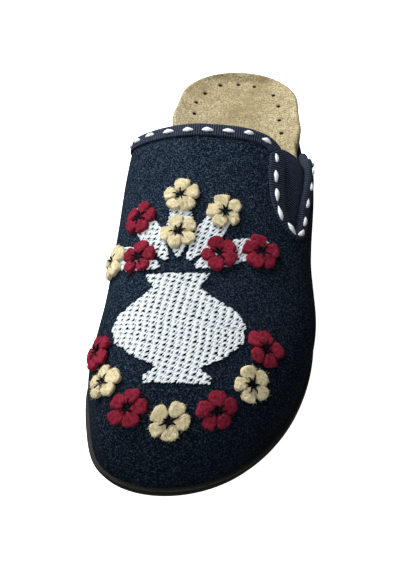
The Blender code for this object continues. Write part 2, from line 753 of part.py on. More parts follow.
def make_leaf(number, turn):
    """A pointed leaf leaving the vase's mouth."""
    share = np.linspace(0, 1, LEAF_ROWS)[:, None]
    run = LEAF_START + (LEAF_END - LEAF_START) * share
    half = LEAF_HALF_WIDTH * np.sin(np.pi * (LEAF_NOSE + (1 - 2 * LEAF_NOSE) * share))
    side = half * LEAF_COLUMNS
    sine, cosine = np.sin(np.radians(turn)), np.cos(np.radians(turn))
    a = run * sine + side * cosine
    b = LEAF_ROOT_B + run * cosine - side * sine
    return make_patch(f"embroidered_leaf_{number}", a, b)


def make_flower(name, kind, a, b, turn):
    """A padded felt flower: rings of a petalled outline from its base to its centre."""
    around = np.linspace(0, 2 * np.pi, FLOWER_POINTS, endpoint=False)
    petals = np.abs(np.cos(FLOWER_PETALS / 2 * around)) ** PETAL_FULLNESS
    outline = FLOWER_RADIUS * (1 - FLOWER_NOTCH * (1 - petals))
    turned = around + np.radians(turn)
    share = FLOWER_RINGS["share"][:, None]
    flat_a = a * MM + share * outline * np.cos(turned)
    flat_b = b * MM + share * outline * np.sin(turned)
    lift = FLOWER_LIFT + FLOWER_HEIGHT * np.broadcast_to(FLOWER_RINGS["height"][:, None], flat_a.shape)
    rings = on_vamp(flat_a, flat_b, lift)
    base = on_vamp(np.array([a * MM]), np.array([b * MM]), np.array([FLOWER_LIFT]))
    index = np.arange(flat_a.size).reshape(flat_a.shape)
    closed = np.concatenate([index, index[:, :1]], axis=1)
    faces = faces_of(np.concatenate([np.full((1, FLOWER_POINTS + 1), index.size), closed]))
    faces.append(tuple(index[-1].tolist()))
    return make(name, np.concatenate([rings.reshape(-1, 3), base]), faces, kind)


def make_flowers(kind, rows):
    """All flowers of one colour."""
    for number, (a, b, turn) in enumerate(zip(rows["a"], rows["b"], rows["turn"]), start=1):
        make_flower(f"{kind}_{number}", kind, a, b, turn)


for old in list(bpy.data.objects):
    bpy.data.objects.remove(old, do_unlink=True)
make_outsole()
make_footbed()
make_upper()
make_binding()
make_gore()
make_vase()
for leaf, leaf_turn in enumerate(LEAF_ANGLES, start=1):
    make_leaf(leaf, leaf_turn)
make_flowers("felt_flower_red", FLOWERS_RED)
make_flowers("felt_flower_cream", FLOWERS_CREAM)
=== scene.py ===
"""Dresses the solids of a wedge slipper in suede, ribbed tape, thread, felt and foam.

x points to the outer side of the foot, y to the heel and z up. The floor is z = 0.
Tables are in millimetres and degrees; a station is the share of the length from heel to toe.
"""

import bmesh
import bpy
import numpy as np
from bpy.props import FloatProperty, FloatVectorProperty, IntProperty, PointerProperty
from mathutils import Matrix


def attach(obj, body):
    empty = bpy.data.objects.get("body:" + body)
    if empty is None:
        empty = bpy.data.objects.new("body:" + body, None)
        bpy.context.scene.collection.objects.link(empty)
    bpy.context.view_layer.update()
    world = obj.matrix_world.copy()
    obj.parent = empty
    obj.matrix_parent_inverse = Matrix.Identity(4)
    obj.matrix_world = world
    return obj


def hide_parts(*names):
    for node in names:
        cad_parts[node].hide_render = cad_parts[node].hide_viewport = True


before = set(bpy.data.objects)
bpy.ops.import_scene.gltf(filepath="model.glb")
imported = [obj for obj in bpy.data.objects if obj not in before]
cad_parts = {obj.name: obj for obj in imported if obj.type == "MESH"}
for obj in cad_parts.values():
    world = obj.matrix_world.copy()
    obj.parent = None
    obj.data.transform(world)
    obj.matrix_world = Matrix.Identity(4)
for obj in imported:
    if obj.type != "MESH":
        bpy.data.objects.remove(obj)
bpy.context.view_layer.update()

bl_info = {
    "name": "Wedge slipper dressing",
    "version": (1, 0, 0),
    "blender": (4, 5, 0),
    "location": "View3D > Sidebar > Slipper",
    "description": "Builds the visible pieces of a felt-flowered wedge slipper on its solid frame",
    "category": "Object",
}

MM = 0.001
GAP = 0.3 * MM

# Hash behind the smooth noise
HASH_PRIMES = (374761393, 668265263, 1274126177)
HASH_SEED_STEP = 97531
HASH_ROUNDS = ((13, 1274126177), (15, 668265263))
HASH_MASK = 0xFFFFFFFF
HASH_MIDDLE = 0x7FFFFFFF


def table(columns, rows):
    """The named columns of a short table, each as an array."""
    return dict(zip(columns.split(), np.array(rows, float).T))


# Sole outline, seen from above
LENGTH = 252 * MM
HEEL_RADIUS = 39.5 * MM
TOE_RADIUS = 43 * MM
HEEL_CENTRE = -0.5
TOE_CENTRE = -12.8
OUTLINE = table("station half_width centre", [
    (0.065, 29.9, -1.3),
    (0.12, 32.8, -1.6),
    (0.18, 34.9, -1.2),
    (0.25, 37.6, 0.0),
    (0.40, 39.7, 0.4),
    (0.55, 44.4, 0.2),
    (0.70, 47.9, 0.5),
    (0.82, 45.0, -2.7),
    (0.92, 34.8, -6.7),
])

# Sole heights
SOLE_TOP = table("station height", [
    (0.00, 38.0),
    (0.15, 37.0),
    (0.30, 32.5),
    (0.45, 26.0),
    (0.60, 19.5),
    (0.72, 17.0),
    (0.85, 17.5),
    (1.00, 21.0),
])
HEEL_BEVEL_END = 0.05
HEEL_BEVEL_RISE = 2.0 * MM
ARCH_START = 0.32
ARCH_END = 0.56
ARCH_RISE = 3.0 * MM
SPRING_START = 0.80
TOE_SPRING = 12.5 * MM

# Side of the sole from tread to lip: inset, blend from tread to top, lift above that blend, and a weight for
# the colour of the worn edges, which just under the top edge is a painted highlight
SOLE_SIDE = table("inset blend lift wear", [
    (4.50, 0.0, 0.00, 0.6),
    (4.10, 0.0, 0.15, 0.8),
    (3.75, 0.0, 0.50, 0.5),
    (3.55, 0.0, 1.20, 0.1),
    (0.90, 1.0, -5.20, 0.1),
    (0.80, 1.0, -4.75, 0.6),
    (1.15, 1.0, -4.45, 0.2),
    (1.75, 1.0, -4.20, 0.0),
    (1.80, 1.0, -3.80, 0.0),
    (1.75, 1.0, -3.40, 0.0),
    (1.00, 1.0, -3.22, 0.0),
    (0.30, 1.0, -3.05, 0.2),
    (0.05, 1.0, -2.70, 0.2),
    (0.00, 1.0, -1.90, 0.0),
    (0.02, 1.0, -0.90, 0.0),
    # Painted highlight: the weight just under the top edge lights that edge
    (0.20, 1.0, -0.35, 0.8),
    (0.65, 1.0, 0.00, 0.0),
])
SOLE_WALL_LEVELS = 14
SOLE_ROWS = 400
TREAD_COLUMNS = 96
CHANNELS = np.array([0.10, 0.155, 0.21, 0.265, 0.61, 0.66, 0.71, 0.76])
CHANNEL_WIDTH = 0.016
CHANNEL_FLANK = 0.003
CHANNEL_DEPTH = 2.0 * MM
CHANNEL_REACH = 0.81
CHANNEL_END = 0.03
WAFFLE_DEPTH = 0.35 * MM
WAFFLE_PITCH = 6.0 * MM
WAFFLE_REACH = 0.9

# Upper
RIM = 1.5 * MM
WALL = 1.6 * MM
TIP = LENGTH / 2 - RIM
TOE_PROFILE_RADIUS = 22 * MM
TOE_SQUARENESS = 2.3
UPPER = table("station rise ridge inner_swell outer_swell squareness", [
    (0.18, 64.0, -8.5, 7.4, -0.5, 2.6),
    (0.30, 63.0, -8.5, 10.6, 1.0, 2.6),
    (0.42, 59.5, -8.5, 10.8, 5.6, 2.6),
    (0.55, 52.5, -8.5, 6.0, 2.6, 2.45),
    (0.70, 44.1, -9.0, 1.5, 3.4, 2.45),
    (0.82, 38.6, -9.5, 0.5, 1.0, 2.5),
    (0.92, 29.0, -11.0, 0.2, 0.3, 2.5),
])
SWELL_PEAK = 0.65
SLIT_TIP = -14 * MM
SLIT_ROUND = 8 * MM
SLIT = table("y centre half", [
    (-14.0, 42.3, 6.5),
    (-8.0, 43.3, 7.4),
    (0.0, 44.4, 8.7),
    (17.0, 44.2, 10.9),
    (40.0, 43.5, 14.5),
])
SLIT_CENTRE_TIP = SLIT["centre"][0]
COLLAR = table("share y", [
    (0.000, 12.0),
    (0.005, 15.0),
    (0.020, 18.0),
    (0.035, 19.4),
    (0.062, 20.5),
    (0.095, 20.8),
    (0.130, 20.8),
    (0.220, 20.1),
    (0.310, 19.6),
    (0.400, 19.8),
    (0.500, 21.1),
    (0.600, 23.2),
    (0.680, 25.9),
    (0.740, 29.0),
    (0.800, 33.6),
    (0.870, 42.2),
    (0.930, 52.5),
    (0.970, 61.0),
    (1.000, 68.0),
])
QUARTER = table("share y", [
    (0.00, 66.0),
    (0.15, 60.5),
    (0.30, 52.5),
    (0.45, 45.0),
    (0.60, 39.0),
    (0.75, 34.8),
    (0.88, 31.5),
    (0.96, 28.2),
    (1.00, 23.8),
])
VAMP_KNOTS = [0.0, 0.005, 0.02, 0.042, 0.07, 0.11, 0.16, 0.28, 0.42, 0.56, 0.70, 0.82, 0.92, 0.97, 1.0]
VAMP_COLUMNS = 110
QUARTER_KNOTS = [0.0, 0.06, 0.15, 0.30, 0.45, 0.60, 0.75, 0.88, 0.96, 1.0]
QUARTER_COLUMNS = 46
FRONT_ROWS = 120
REAR_ROWS = 60
FRONT_SPACING = 2
REAR_SPACING = 2.0
SOFT_DENT = 0.22 * MM
SOFT_DENT_SIZE = 16 * MM
DENT_FADE = 6 * MM
# Painted light and shade on the suede: an axis, and the distances along it where the colour is painted
# darkest and lightest
PAINTED_LIGHT_AXIS = (-0.8, 1.0, 0.0)
PAINTED_SHADE_END = -75 * MM
PAINTED_LIGHT_END = 10 * MM

# Footbed
FOOTBED_HEEL_INSET = 0.1 * MM
FOOTBED_COVERED_INSET = RIM + WALL + GAP
COVER_START_INNER = 84 * MM
COVER_START_OUTER = 82 * MM
COVER_RUN = 14 * MM
NOTCH = 1.6 * MM
NOTCH_HEEL = 71 * MM
NOTCH_TOE = 49 * MM
NOTCH_RUN = 6 * MM
FOOTBED = table("station thickness cup arch", [
    (0.00, 6.5, 3.5, 0.0),
    (0.15, 6.0, 3.8, 0.0),
    (0.30, 6.0, 3.2, 2.0),
    (0.45, 6.0, 1.8, 4.5),
    (0.60, 6.2, 0.8, 1.5),
    (0.80, 5.5, 0.5, 0.0),
    (1.00, 5.0, 0.4, 0.0),
])
FOOTBED_EDGE = 1.6 * MM
FOOTBED_EDGE_LEVELS = 8
FOOTBED_OPEN_ROWS = 300
FOOTBED_COVERED_ROWS = 50
FOOTBED_OPEN_SHARE = 0.52
FOOTBED_COLUMNS = 140
FOOTBED_END = 0.02
FOOTBED_ROW_POWER = 1.25
FOOTBED_BEVEL = 0.6 * MM
ARCH_WIDTH = 0.9
CUP_POWER = 3
HOLE_STEEPNESS = 1.5
PINHOLES = table("x y", [
    (-24.6, 87.4),
    (-24.8, 96.8),
    (-21.1, 106.1),
    (-13.7, 115.3),
    (-3.8, 118.3),
    (5.3, 117.6),
    (16.6, 109.7),
    (20.1, 99.8),
    (21.5, 88.1),
    (23.4, 78.0),
])

# Binding: a tape folded over the upper's edge
TAPE_GAP = 0.35 * MM
TAPE = 0.6 * MM
TAPE_WIDTH = table("from_tip width", [
    (-60.0, 5.2),
    (-46.0, 5.2),
    (-30.0, 7.2),
    (-16.0, 6.4),
    (0.0, 3.0),
    (12.0, 3.6),
    (40.0, 4.0),
])
TAPE_INSIDE = 3.0 * MM
TAPE_FEATHER_SHARE = 0.03
TAPE_FACE_STEPS = 9
TAPE_BEND_STEPS = 7
TAPE_TUCK = 0.25 * MM
TAPE_EDGE_SWELL = [0.75, 0.98]
PATH_POINTS = 900
PATH_SPACING = 0.21 * MM

# Running stitches: distance along the bound edge, and how far in from the edge each lies
STITCHES = table("run reach", [
    (4.0, 2.0),
    (13.0, 2.0),
    (22.0, 1.9),
    (31.0, 1.8),
    (40.0, 1.8),
    (48.8, 1.8),
    (57.6, 1.5),
    (68.4, 2.1),
    (78.0, 2.4),
    (86.8, 2.4),
    (96.0, 2.1),
    (105.2, 1.5),
    (114.4, 2.1),
    (126.0, 3.3),
    (136.0, 3.6),
    (144.4, 3.4),
    (152.0, 3.3),
    (159.6, 0.9),
    (166.2, 0.5),
    (173.2, 0.5),
    (182.8, 0.5),
    (192.6, 0.9),
    (202.5, 1.6),
    (212.0, 1.6),
    (221.5, 1.5),
    (231.0, 1.4),
    (240.5, 1.4),
    (248.5, 1.4),
])
STITCH_STATIONS = 17
STITCH_SIDES = 14
STITCH_SKEW = 0.4
STITCH_POINT = 0.95
STITCH_UNEVEN = 0.14
STITCH_ROLLS = {"lean": 3, "skew": 5, "width": 2}
STITCH_WANDER = 1.3
STITCH_LEAN = 0.25 * MM
STITCH_RISE = 0.25
STITCH_SINK = 0.1
STITCH_TWIST = 0.07
STITCH_TWIST_TURNS = 7
STITCH_END = 0.08
STITCH_FLATNESS = 0.62

# Gore: a panel behind the slit
GORE_DEPTH = WALL + TAPE_GAP + TAPE + GAP
GORE_WALL = 1.0 * MM
GORE_LAP = 5.0
GORE_LAP_FRONT = 5 * MM
GORE_REAR_LOW = 24 * MM
GORE_REAR_HIGH = 19 * MM
GORE_REAR_ARC = 2.5 * MM
GORE_ROWS = 240
GORE_COLUMNS = 60
GORE_RIBS = 42

# Decoration: measured along a spine on the vamp (b) and across it (a)
SPINE = table("y angle", [
    (-120.0, 84.0),
    (-112.0, 84.0),
    (-60.0, 92.0),
    (-12.0, 99.0),
    (10.0, 100.0),
])
SPINE_START = -112 * MM
SPINE_POINTS = 400
DECORATION_TURN = np.radians(6)
CHART_A = np.arange(-52.0, 52.5, 1.0) * MM
CHART_B = np.arange(-12.0, 124.5, 1.0) * MM
VASE = table("b half_width", [
    (18.0, 13.0),
    (21.0, 13.5),
    (24.5, 8.5),
    (30.0, 19.0),
    (37.0, 27.0),
    (44.0, 29.0),
    (51.0, 25.0),
    (57.0, 15.0),
    (61.5, 9.5),
    (65.5, 12.5),
    (68.0, 13.5),
])
LEAF_ROOT_B = 67.5 * MM
LEAF_ANGLES = (-64, -32, 0, 32, 64)
LEAF_START = 8 * MM
LEAF_END = 42 * MM
LEAF_HALF_WIDTH = 5.5 * MM
LEAF_NOSE = 0.06

# Fill stitches: their form, their groups and how uneven they are
THREAD_SAMPLES = 15
THREAD_SHORTEST = 0.6 * MM
THREAD_SLANT = 0.45 * MM
THREAD_RAGGED = 0.5 * MM
THREAD_STATIONS = np.array([0.0, 0.10, 0.32, 0.68, 0.90, 1.0])
THREAD_THICKNESS = np.array([0.45, 0.85, 1.0, 1.0, 0.85, 0.45])
THREAD_LIFT = np.array([0.15, 0.75, 1.0, 1.0, 0.75, 0.15])
THREAD_SIDES = 6
THREAD_GROUP = 4
HOLE_ROWS = 2
CLOSED_GAP = 0.1
CLOSED_STEP = 0.27
GROUP_STEP = 0.382
THREAD_DRIFT = (0.7, 0.9)
GROUP_DRIFT = (1.7, 1.3)
FILL_ROLLS = {"gap": 7, "start": 3, "end": 11}
FILL_JITTER = {"pitch": 0.18, "gap": 0.3, "hole": 0.12, "closed": 0.1}
THREAD_BASE = 0.15 * MM
THREAD_CROWN = 0.50 * MM
THREAD_FULLNESS = 0.56
WHITE_GLOSS = 0.35

# Felt flowers and their thread stars, on the same chart
FLOWERS_RED = table("a b turn", [
    (-17.0, 77.0, 10),
    (17.0, 77.0, 40),
    (-18.5, 97.0, 0),
    (34.0, 80.0, 20),
    (-36.0, 36.0, 30),
    (-17.0, 8.0, 5),
    (17.0, 8.0, 25),
    (36.0, 36.0, 0),
])
FLOWERS_CREAM = table("a b turn", [
    (0.0, 87.0, 36),
    (-33.0, 81.0, 12),
    (0.0, 104.5, 20),
    (18.5, 97.0, 30),
    (-30.0, 20.0, 18),
    (0.0, 3.5, 0),
    (30.0, 20.0, 40),
])
PETALS = 5
PETAL_CENTRE = 4.6 * MM
PETAL_HALF_LENGTH = 2.95 * MM
PETAL_HALF_WIDTH = 2.85 * MM
PETAL_TAPER = 0.22
PETAL_CORNER = 0.82
PETAL_LOW = 0.25 * MM
PETAL_AROUND = 44
PETAL_LEVELS = 22
PETAL_SQUARENESS = 0.42
PETAL_TILT = np.radians(13)
PETAL_SIZE_JITTER = 0.09
PETAL_TURN_JITTER = 0.10
PETALS_APART = 31 * MM
PETAL_FLOOR = 0.05 * MM
FLOWER_SEED_STEP = 10
FELT_LUMPS = table("size depth", [
    (3.0, 0.45),
    (1.3, 0.34),
    (0.6, 0.20),
])
FUZZ_HAIRS = 700
FUZZ_STATIONS = np.array([0.0, 0.5, 1.0])
FUZZ_SIDES = 3
FUZZ_LENGTH = 0.8 * MM
FUZZ_WIDTH = 0.07 * MM
FUZZ_ROOT = 0.1 * MM
FUZZ_SPREAD = 0.9
FUZZ_CURL = 0.7
FUZZ_SHORTEST = 0.4
FUZZ_TAPER = 0.7
SPOKES = 6
SPOKE_STATIONS = 8
SPOKE_LENGTH = 3.6 * MM
SPOKE_WIDTH = 1.15 * MM
SPOKE_TAPER = 0.55
SPOKE_THINNING = 0.88
SPOKE_TURN_JITTER = 0.3
SPOKE_LENGTH_JITTER = 0.25
SPOKE_CLIMB = 1.3
SPOKE_DIVE_START = 0.8
SPOKE_DIVE = 0.5
SPOKE_CENTRE_LIFT = 1.7 * MM
SPOKE_END_LIFT = 3.2 * MM
STAR_GLOSS = 0.04
STAR_SHADE = 0.4

# Usual range of a noise texture
NOISE_LOW = 0.3
NOISE_HIGH = 0.7

# Camera, floor and world
TARGET = np.array([-6.2, -23.7, 29.4]) * MM
AZIMUTH = np.radians(7.3)
ELEVATION = np.radians(47.5)
ROLL = np.radians(0.7)
DISTANCE = 378.7 * MM
LENS = 51.7
SENSOR = 36.0
FLOOR_SIZE = 3.0
FLOOR_DROP = 0.2 * MM
FLOOR_GLOW = 1.1
WORLD_COLOUR = (1.0, 1.0, 1.0, 1.0)
WORLD_STRENGTH = 0.19

# Lights: place, size in metres and power in watts
LIGHTS = {
    "key": ((-0.50, 0.42, 0.72), 0.5, 12.6),
    "overhead": ((-0.5, 0.15, 1.0), 1.0, 6.6),
    "front": ((-0.3, -0.6, 0.6), 0.6, 3.2),
}

# Steps and margins of the arithmetic
DIFFERENCE = 0.2 * MM
ANGLE_DIFFERENCE = 0.002
WALK_STEPS = 12
ANGLE_MARGIN = np.radians(1.2)
STEP_MARGIN = 0.001
TIP_STEPS = 4
NO_LENGTH = 1e-9


def unit(vectors):
    """Vectors scaled to length one."""
    return vectors / np.linalg.norm(vectors, axis=-1, keepdims=True)


def dot(a, b):
    """Row by row scalar product, kept as a column."""
    return (a * b).sum(axis=-1, keepdims=True)


def through(x, xs, ys):
    """Smooth cubic curve through the rows of a table."""
    slopes = np.gradient(ys, xs)
    i = np.clip(np.searchsorted(xs, x) - 1, 0, len(xs) - 2)
    span = xs[i + 1] - xs[i]
    u = (x - xs[i]) / span
    start = (1 + 2 * u) * (1 - u) ** 2 * ys[i] + u * (1 - u) ** 2 * span * slopes[i]
    end = u * u * (3 - 2 * u) * ys[i + 1] + u * u * (u - 1) * span * slopes[i + 1]
    return start + end


def smooth(u):
    """Soft step from nought to one."""
    u = np.clip(u, 0, 1)
    return u * u * (3 - 2 * u)


def lumps(points, size, seed):
    """Smooth noise from -1 to 1: hashed values at the corners of cubes of a size, blended inside them."""
    cells = points / size
    low = np.floor(cells).astype(np.int64)
    blend = smooth(cells - low)
    total = np.zeros(points.shape[:-1])
    for corner in np.ndindex(2, 2, 2):
        mixed = ((low + corner) * np.array(HASH_PRIMES)).sum(axis=-1) + seed * HASH_SEED_STEP
        for shift, prime in HASH_ROUNDS:
            mixed = (mixed ^ (mixed >> shift)) * prime & HASH_MASK
        weight = np.where(corner, blend, 1 - blend).prod(axis=-1)
        total += weight * (mixed / HASH_MIDDLE - 1)
    return total


def station_of(y):
    """Share of the length from the heel."""
    return np.clip(0.5 - y / LENGTH, 0, 1)


def edges(y, inset):
    """Inner and outer x of the outline, moved in by an inset: fullness times the root of s(1 - s)."""
    length = LENGTH - 2 * inset
    share = np.clip(0.5 - y / length, 0, 1)
    rows = OUTLINE["station"]
    heel = np.sqrt(2 * (HEEL_RADIUS - inset) * length)
    toe = np.sqrt(2 * (TOE_RADIUS - inset) * length)
    middle = (OUTLINE["half_width"] * MM - inset) / np.sqrt(rows * (1 - rows))
    stations = np.concatenate([[0], rows, [1]])
    fullness = through(share, stations, np.concatenate([[heel], middle, [toe]]))
    half = fullness * np.sqrt(share * (1 - share))
    centres = np.concatenate([[HEEL_CENTRE], OUTLINE["centre"], [TOE_CENTRE]])
    centre = through(share, stations, centres) * MM
    return centre - half, centre + half


def sole_top(y):
    """Height of the sole's upper face."""
    return through(station_of(y), SOLE_TOP["station"], SOLE_TOP["height"]) * MM


def sole_bottom(station):
    """Height of the tread: flat heel and ball, hollow arch, bevelled heel and toe spring."""
    heel = np.clip((HEEL_BEVEL_END - station) / HEEL_BEVEL_END, 0, None) ** 2
    arch = np.clip((station - ARCH_START) / (ARCH_END - ARCH_START), 0, 1)
    toe = np.clip((station - SPRING_START) / (1 - SPRING_START), 0, None) ** 2
    return HEEL_BEVEL_RISE * heel + ARCH_RISE * np.sin(np.pi * arch) ** 2 + TOE_SPRING * toe


def upper_point(y, angle):
    """Outer face of the upper: a swollen superellipse over the foot at y, outer side at angle 0."""
    station = station_of(y)
    last = 0.5 + TIP / LENGTH
    stations = np.append(UPPER["station"], last)

    def column(name, at_tip):
        return through(station, stations, np.append(UPPER[name], at_tip))

    tip_fullness = np.sqrt(2 * TOE_PROFILE_RADIUS * LENGTH)
    fullness = np.append(UPPER["rise"] * MM / np.sqrt(last - UPPER["station"]), tip_fullness)
    rise = through(station, stations, fullness) * np.sqrt(np.clip((y + TIP) / LENGTH, 0, None))
    inner, outer = edges(y, RIM)
    ridge = np.clip(column("ridge", TOE_CENTRE) * MM, inner, outer)
    power = 2 / column("squareness", TOE_SQUARENESS)
    cosine = np.cos(angle)
    reach = np.where(cosine > 0, outer - ridge, ridge - inner)
    swell = np.where(cosine > 0, column("outer_swell", 0), column("inner_swell", 0)) * MM
    bulge = swell * np.sin(2 * angle) * cosine ** 2 / SWELL_PEAK
    x = ridge + np.sign(cosine) * reach * np.abs(cosine) ** power + bulge
    z = sole_top(y) + GAP + rise * np.abs(np.sin(angle)) ** power
    return np.stack(np.broadcast_arrays(x, y, z), axis=-1)


def upper_tangents(y, angle):
    """Lengthwise and crosswise tangents of the upper's face."""
    step = np.minimum(DIFFERENCE, (y + TIP) / TIP_STEPS)
    along = (upper_point(y + step, angle) - upper_point(y - step, angle)) / (2 * step)[..., None]
    low = np.maximum(angle - ANGLE_DIFFERENCE, 0)
    high = np.minimum(angle + ANGLE_DIFFERENCE, np.pi)
    across = (upper_point(y, high) - upper_point(y, low)) / (high - low)[..., None]
    return along, across


def upper_normal(y, angle):
    """Outward normal of the upper's face."""
    along, across = upper_tangents(y, angle)
    return unit(np.cross(along, across))


def walk(y, angle, heading, distance):
    """Follow the upper's face from a place for a distance in a heading."""
    step = (distance / WALK_STEPS)[..., None]
    for _ in range(WALK_STEPS):
        along, across = upper_tangents(y, angle)
        normal = unit(np.cross(along, across))
        heading = unit(heading - dot(heading, normal) * normal)
        aa, bb, ab = dot(along, along), dot(across, across), dot(along, across)
        ha, hb = dot(heading, along), dot(heading, across)
        scale = step / (aa * bb - ab * ab)
        y = y + (scale * (ha * bb - hb * ab))[..., 0]
        angle = angle + (scale * (hb * aa - ha * ab))[..., 0]
        angle = np.clip(angle, ANGLE_MARGIN, np.pi - ANGLE_MARGIN)
    return y, angle


def slit_angles(y):
    """Lower and upper angle of the slit's edges at y; both are the same in front of its tip."""
    row = np.clip(y / MM, SLIT["y"][0], SLIT["y"][-1])
    nose = np.clip((y - SLIT_TIP) / SLIT_ROUND, 0, 1)
    centre = through(row, SLIT["y"], SLIT["centre"])
    half = through(row, SLIT["y"], SLIT["half"]) * np.sqrt(nose * (2 - nose))
    return np.radians(centre - half), np.radians(centre + half)


def vamp_angle(y, share):
    """Angle on the vamp, from the slit's upper edge to the inner feather line."""
    _, start = slit_angles(y)
    return start + (np.pi - start) * share


def quarter_angle(y, share):
    """Angle on the outer quarter, from the outer feather line to the slit's lower edge."""
    end, _ = slit_angles(y)
    return end * share


def collar_y(share):
    """y of the collar at a share across the vamp."""
    return through(share, COLLAR["share"], COLLAR["y"]) * MM


def quarter_y(share):
    """y of the rear edge at a share across the outer quarter."""
    return through(share, QUARTER["share"], QUARTER["y"]) * MM


def closer(knots, count):
    """More values between the knots, the same number in each gap."""
    return np.interp(np.linspace(0, len(knots) - 1, count), np.arange(len(knots)), knots)


def quads_of(index):
    """Corners of the cells of a grid of vertex numbers."""
    cells = np.stack([index[:-1, :-1], index[:-1, 1:], index[1:, 1:], index[1:, :-1]], axis=-1)
    return cells.reshape(-1, 4)


def ring_grid(index):
    """The grid with its first column repeated at the end, so that its cells close round."""
    return np.concatenate([index, index[:, :1]], axis=1)


def tube_quads(index):
    """Corners of the cells round many tubes, from vertex numbers by tube, station and side."""
    closed = np.concatenate([index, index[..., :1]], axis=2)
    cells = [closed[:, :-1, :-1], closed[:, :-1, 1:], closed[:, 1:, 1:], closed[:, 1:, :-1]]
    return np.stack(cells, axis=-1).reshape(-1, 4)


def tubes(grid):
    """Points and faces of many tubes, from points by tube, station and side, with a face at each end."""
    index = np.arange(grid[..., 0].size).reshape(grid.shape[:3])
    return grid.reshape(-1, 3), [tube_quads(index), index[:, 0], index[:, -1]]


def shell(outer, inner, quads):
    """Points and faces of a closed sheet between two like faces, with a wall along its border."""
    count = len(outer)
    starts = quads.ravel()
    ends = np.roll(quads, -1, axis=1).ravel()
    real = starts != ends
    starts, ends = starts[real], ends[real]
    border = ~np.isin(starts * count + ends, ends * count + starts)
    a, b = starts[border], ends[border]
    walls = np.stack([b, a, a + count, b + count], axis=-1)
    return np.concatenate([outer, inner]), [quads, quads[:, ::-1] + count, walls]


def make_piece(name, points, faces, finishes, nodes=(), material_index=None, floats=None):
    """A smooth closed mesh from points and arrays of corners, dressed and tied to the frame."""
    loops, totals = [], []
    for corners in faces:
        kept = corners != np.roll(corners, 1, axis=1)
        kept &= (kept.sum(axis=1) > 2)[:, None]
        loops.append(corners[kept])
        totals.append(kept.sum(axis=1)[kept.any(axis=1)])
    loops = np.concatenate(loops)
    totals = np.concatenate(totals)
    mesh = bpy.data.meshes.new(name)
    mesh.vertices.add(len(points))
    mesh.vertices.foreach_set("co", np.asarray(points, np.float32).ravel())
    mesh.loops.add(len(loops))
    mesh.loops.foreach_set("vertex_index", loops.astype(np.int32))
    mesh.polygons.add(len(totals))
    mesh.polygons.foreach_set("loop_start", (np.cumsum(totals) - totals).astype(np.int32))
    mesh.update(calc_edges=True)
    if mesh.validate():
        raise RuntimeError(f"{name} has faces that Blender had to mend")
    if material_index is not None:
        mesh.polygons.foreach_set("material_index", material_index.astype(np.int32))
    shape = bmesh.new()
    shape.from_mesh(mesh)
    bmesh.ops.recalc_face_normals(shape, faces=shape.faces)
    shape.to_mesh(mesh)
    shape.free()
    mesh.polygons.foreach_set("use_smooth", np.ones(len(totals), bool))
    for key, values in (floats or {}).items():
        layer = mesh.attributes.new(key, "FLOAT", "POINT")
        layer.data.foreach_set("value", np.asarray(values, np.float32))
    for finish in finishes:
        mesh.materials.append(finish.material)
    piece = bpy.data.objects.new(name, mesh)
    bpy.context.scene.collection.objects.link(piece)
    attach(piece, "root")
    if nodes:
        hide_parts(*nodes)
    return piece


class Socket:
    """An output socket; arithmetic on it adds Math nodes to its material."""

    def __init__(self, finish, socket):
        self.finish = finish
        self.socket = socket

    def maths(self, operation, first, second):
        """One Math node on two values."""
        return self.finish.node("ShaderNodeMath", {"operation": operation}, {0: first, 1: second})

    def __add__(self, other):
        return self.maths("ADD", self, other)

    def __radd__(self, other):
        return self.maths("ADD", other, self)

    def __sub__(self, other):
        return self.maths("SUBTRACT", self, other)

    def __rsub__(self, other):
        return self.maths("SUBTRACT", other, self)

    def __mul__(self, other):
        return self.maths("MULTIPLY", self, other)

    def __rmul__(self, other):
        return self.maths("MULTIPLY", other, self)

    def stretched(self, low=NOISE_LOW, high=NOISE_HIGH):
        """Nought at low, one at high and held between them."""
        settings = {"clamp": True}
        sockets = {"Value": self, "From Min": low, "From Max": high}
        return self.finish.node("ShaderNodeMapRange", settings, sockets)


class Finish:
    """A material with one Principled shader, its constants and the nodes that vary over the surface."""

    def __init__(self, name, constants):
        self.material = bpy.data.materials.new(name)
        self.material.use_nodes = True
        self.tree = self.material.node_tree
        self.shader = self.tree.nodes["Principled BSDF"]
        for key, value in constants.items():
            self.shader.inputs[key].default_value = value
        self.place = self.node("ShaderNodeTexCoord", {}, {}, "Object")

    def node(self, kind, settings, sockets, output=0):
        """A node of a type with its settings, then its sockets' values or links."""
        node = self.tree.nodes.new(kind)
        for key, value in settings.items():
            setattr(node, key, value)
        for key, value in sockets.items():
            if isinstance(value, Socket):
                self.tree.links.new(value.socket, node.inputs[key])
            else:
                node.inputs[key].default_value = value
        return Socket(self, node.outputs[output])

    def noise(self, scale, detail, rough=0.5, place=None):
        """Noise of a scale per metre."""
        sockets = {"Vector": place or self.place, "Scale": scale, "Detail": detail, "Roughness": rough}
        return self.node("ShaderNodeTexNoise", {}, sockets, "Fac")

    def squeezed(self, scale, turn=(0.0, 0.0, 0.0)):
        """Object coordinates scaled along each axis, for grain that runs one way."""
        sockets = {"Vector": self.place, "Scale": scale, "Rotation": turn}
        return self.node("ShaderNodeMapping", {}, sockets)

    def value(self, name):
        """A number stored on the mesh."""
        return self.node("ShaderNodeAttribute", {"attribute_name": name}, {}, "Fac")

    def mix(self, share, first, second):
        """A colour between two colours."""

        def filled(colour):
            return colour if isinstance(colour, Socket) else (*colour, 1.0)

        sockets = {"Factor": share, 6: filled(first), 7: filled(second)}
        return self.node("ShaderNodeMix", {"data_type": "RGBA"}, sockets, 2)

    def feed(self, key, value):
        """Link a varying value to the shader."""
        self.tree.links.new(value.socket, self.shader.inputs[key])

    def relief(self, height, depth, strength):
        """Bump from a height, of a depth in metres."""
        sockets = {"Height": height, "Distance": depth, "Strength": strength}
        self.feed("Normal", self.node("ShaderNodeBump", {}, sockets))


def tint(colour, gain):
    """A colour made lighter or darker."""
    return tuple(min(1.0, channel * gain) for channel in colour)


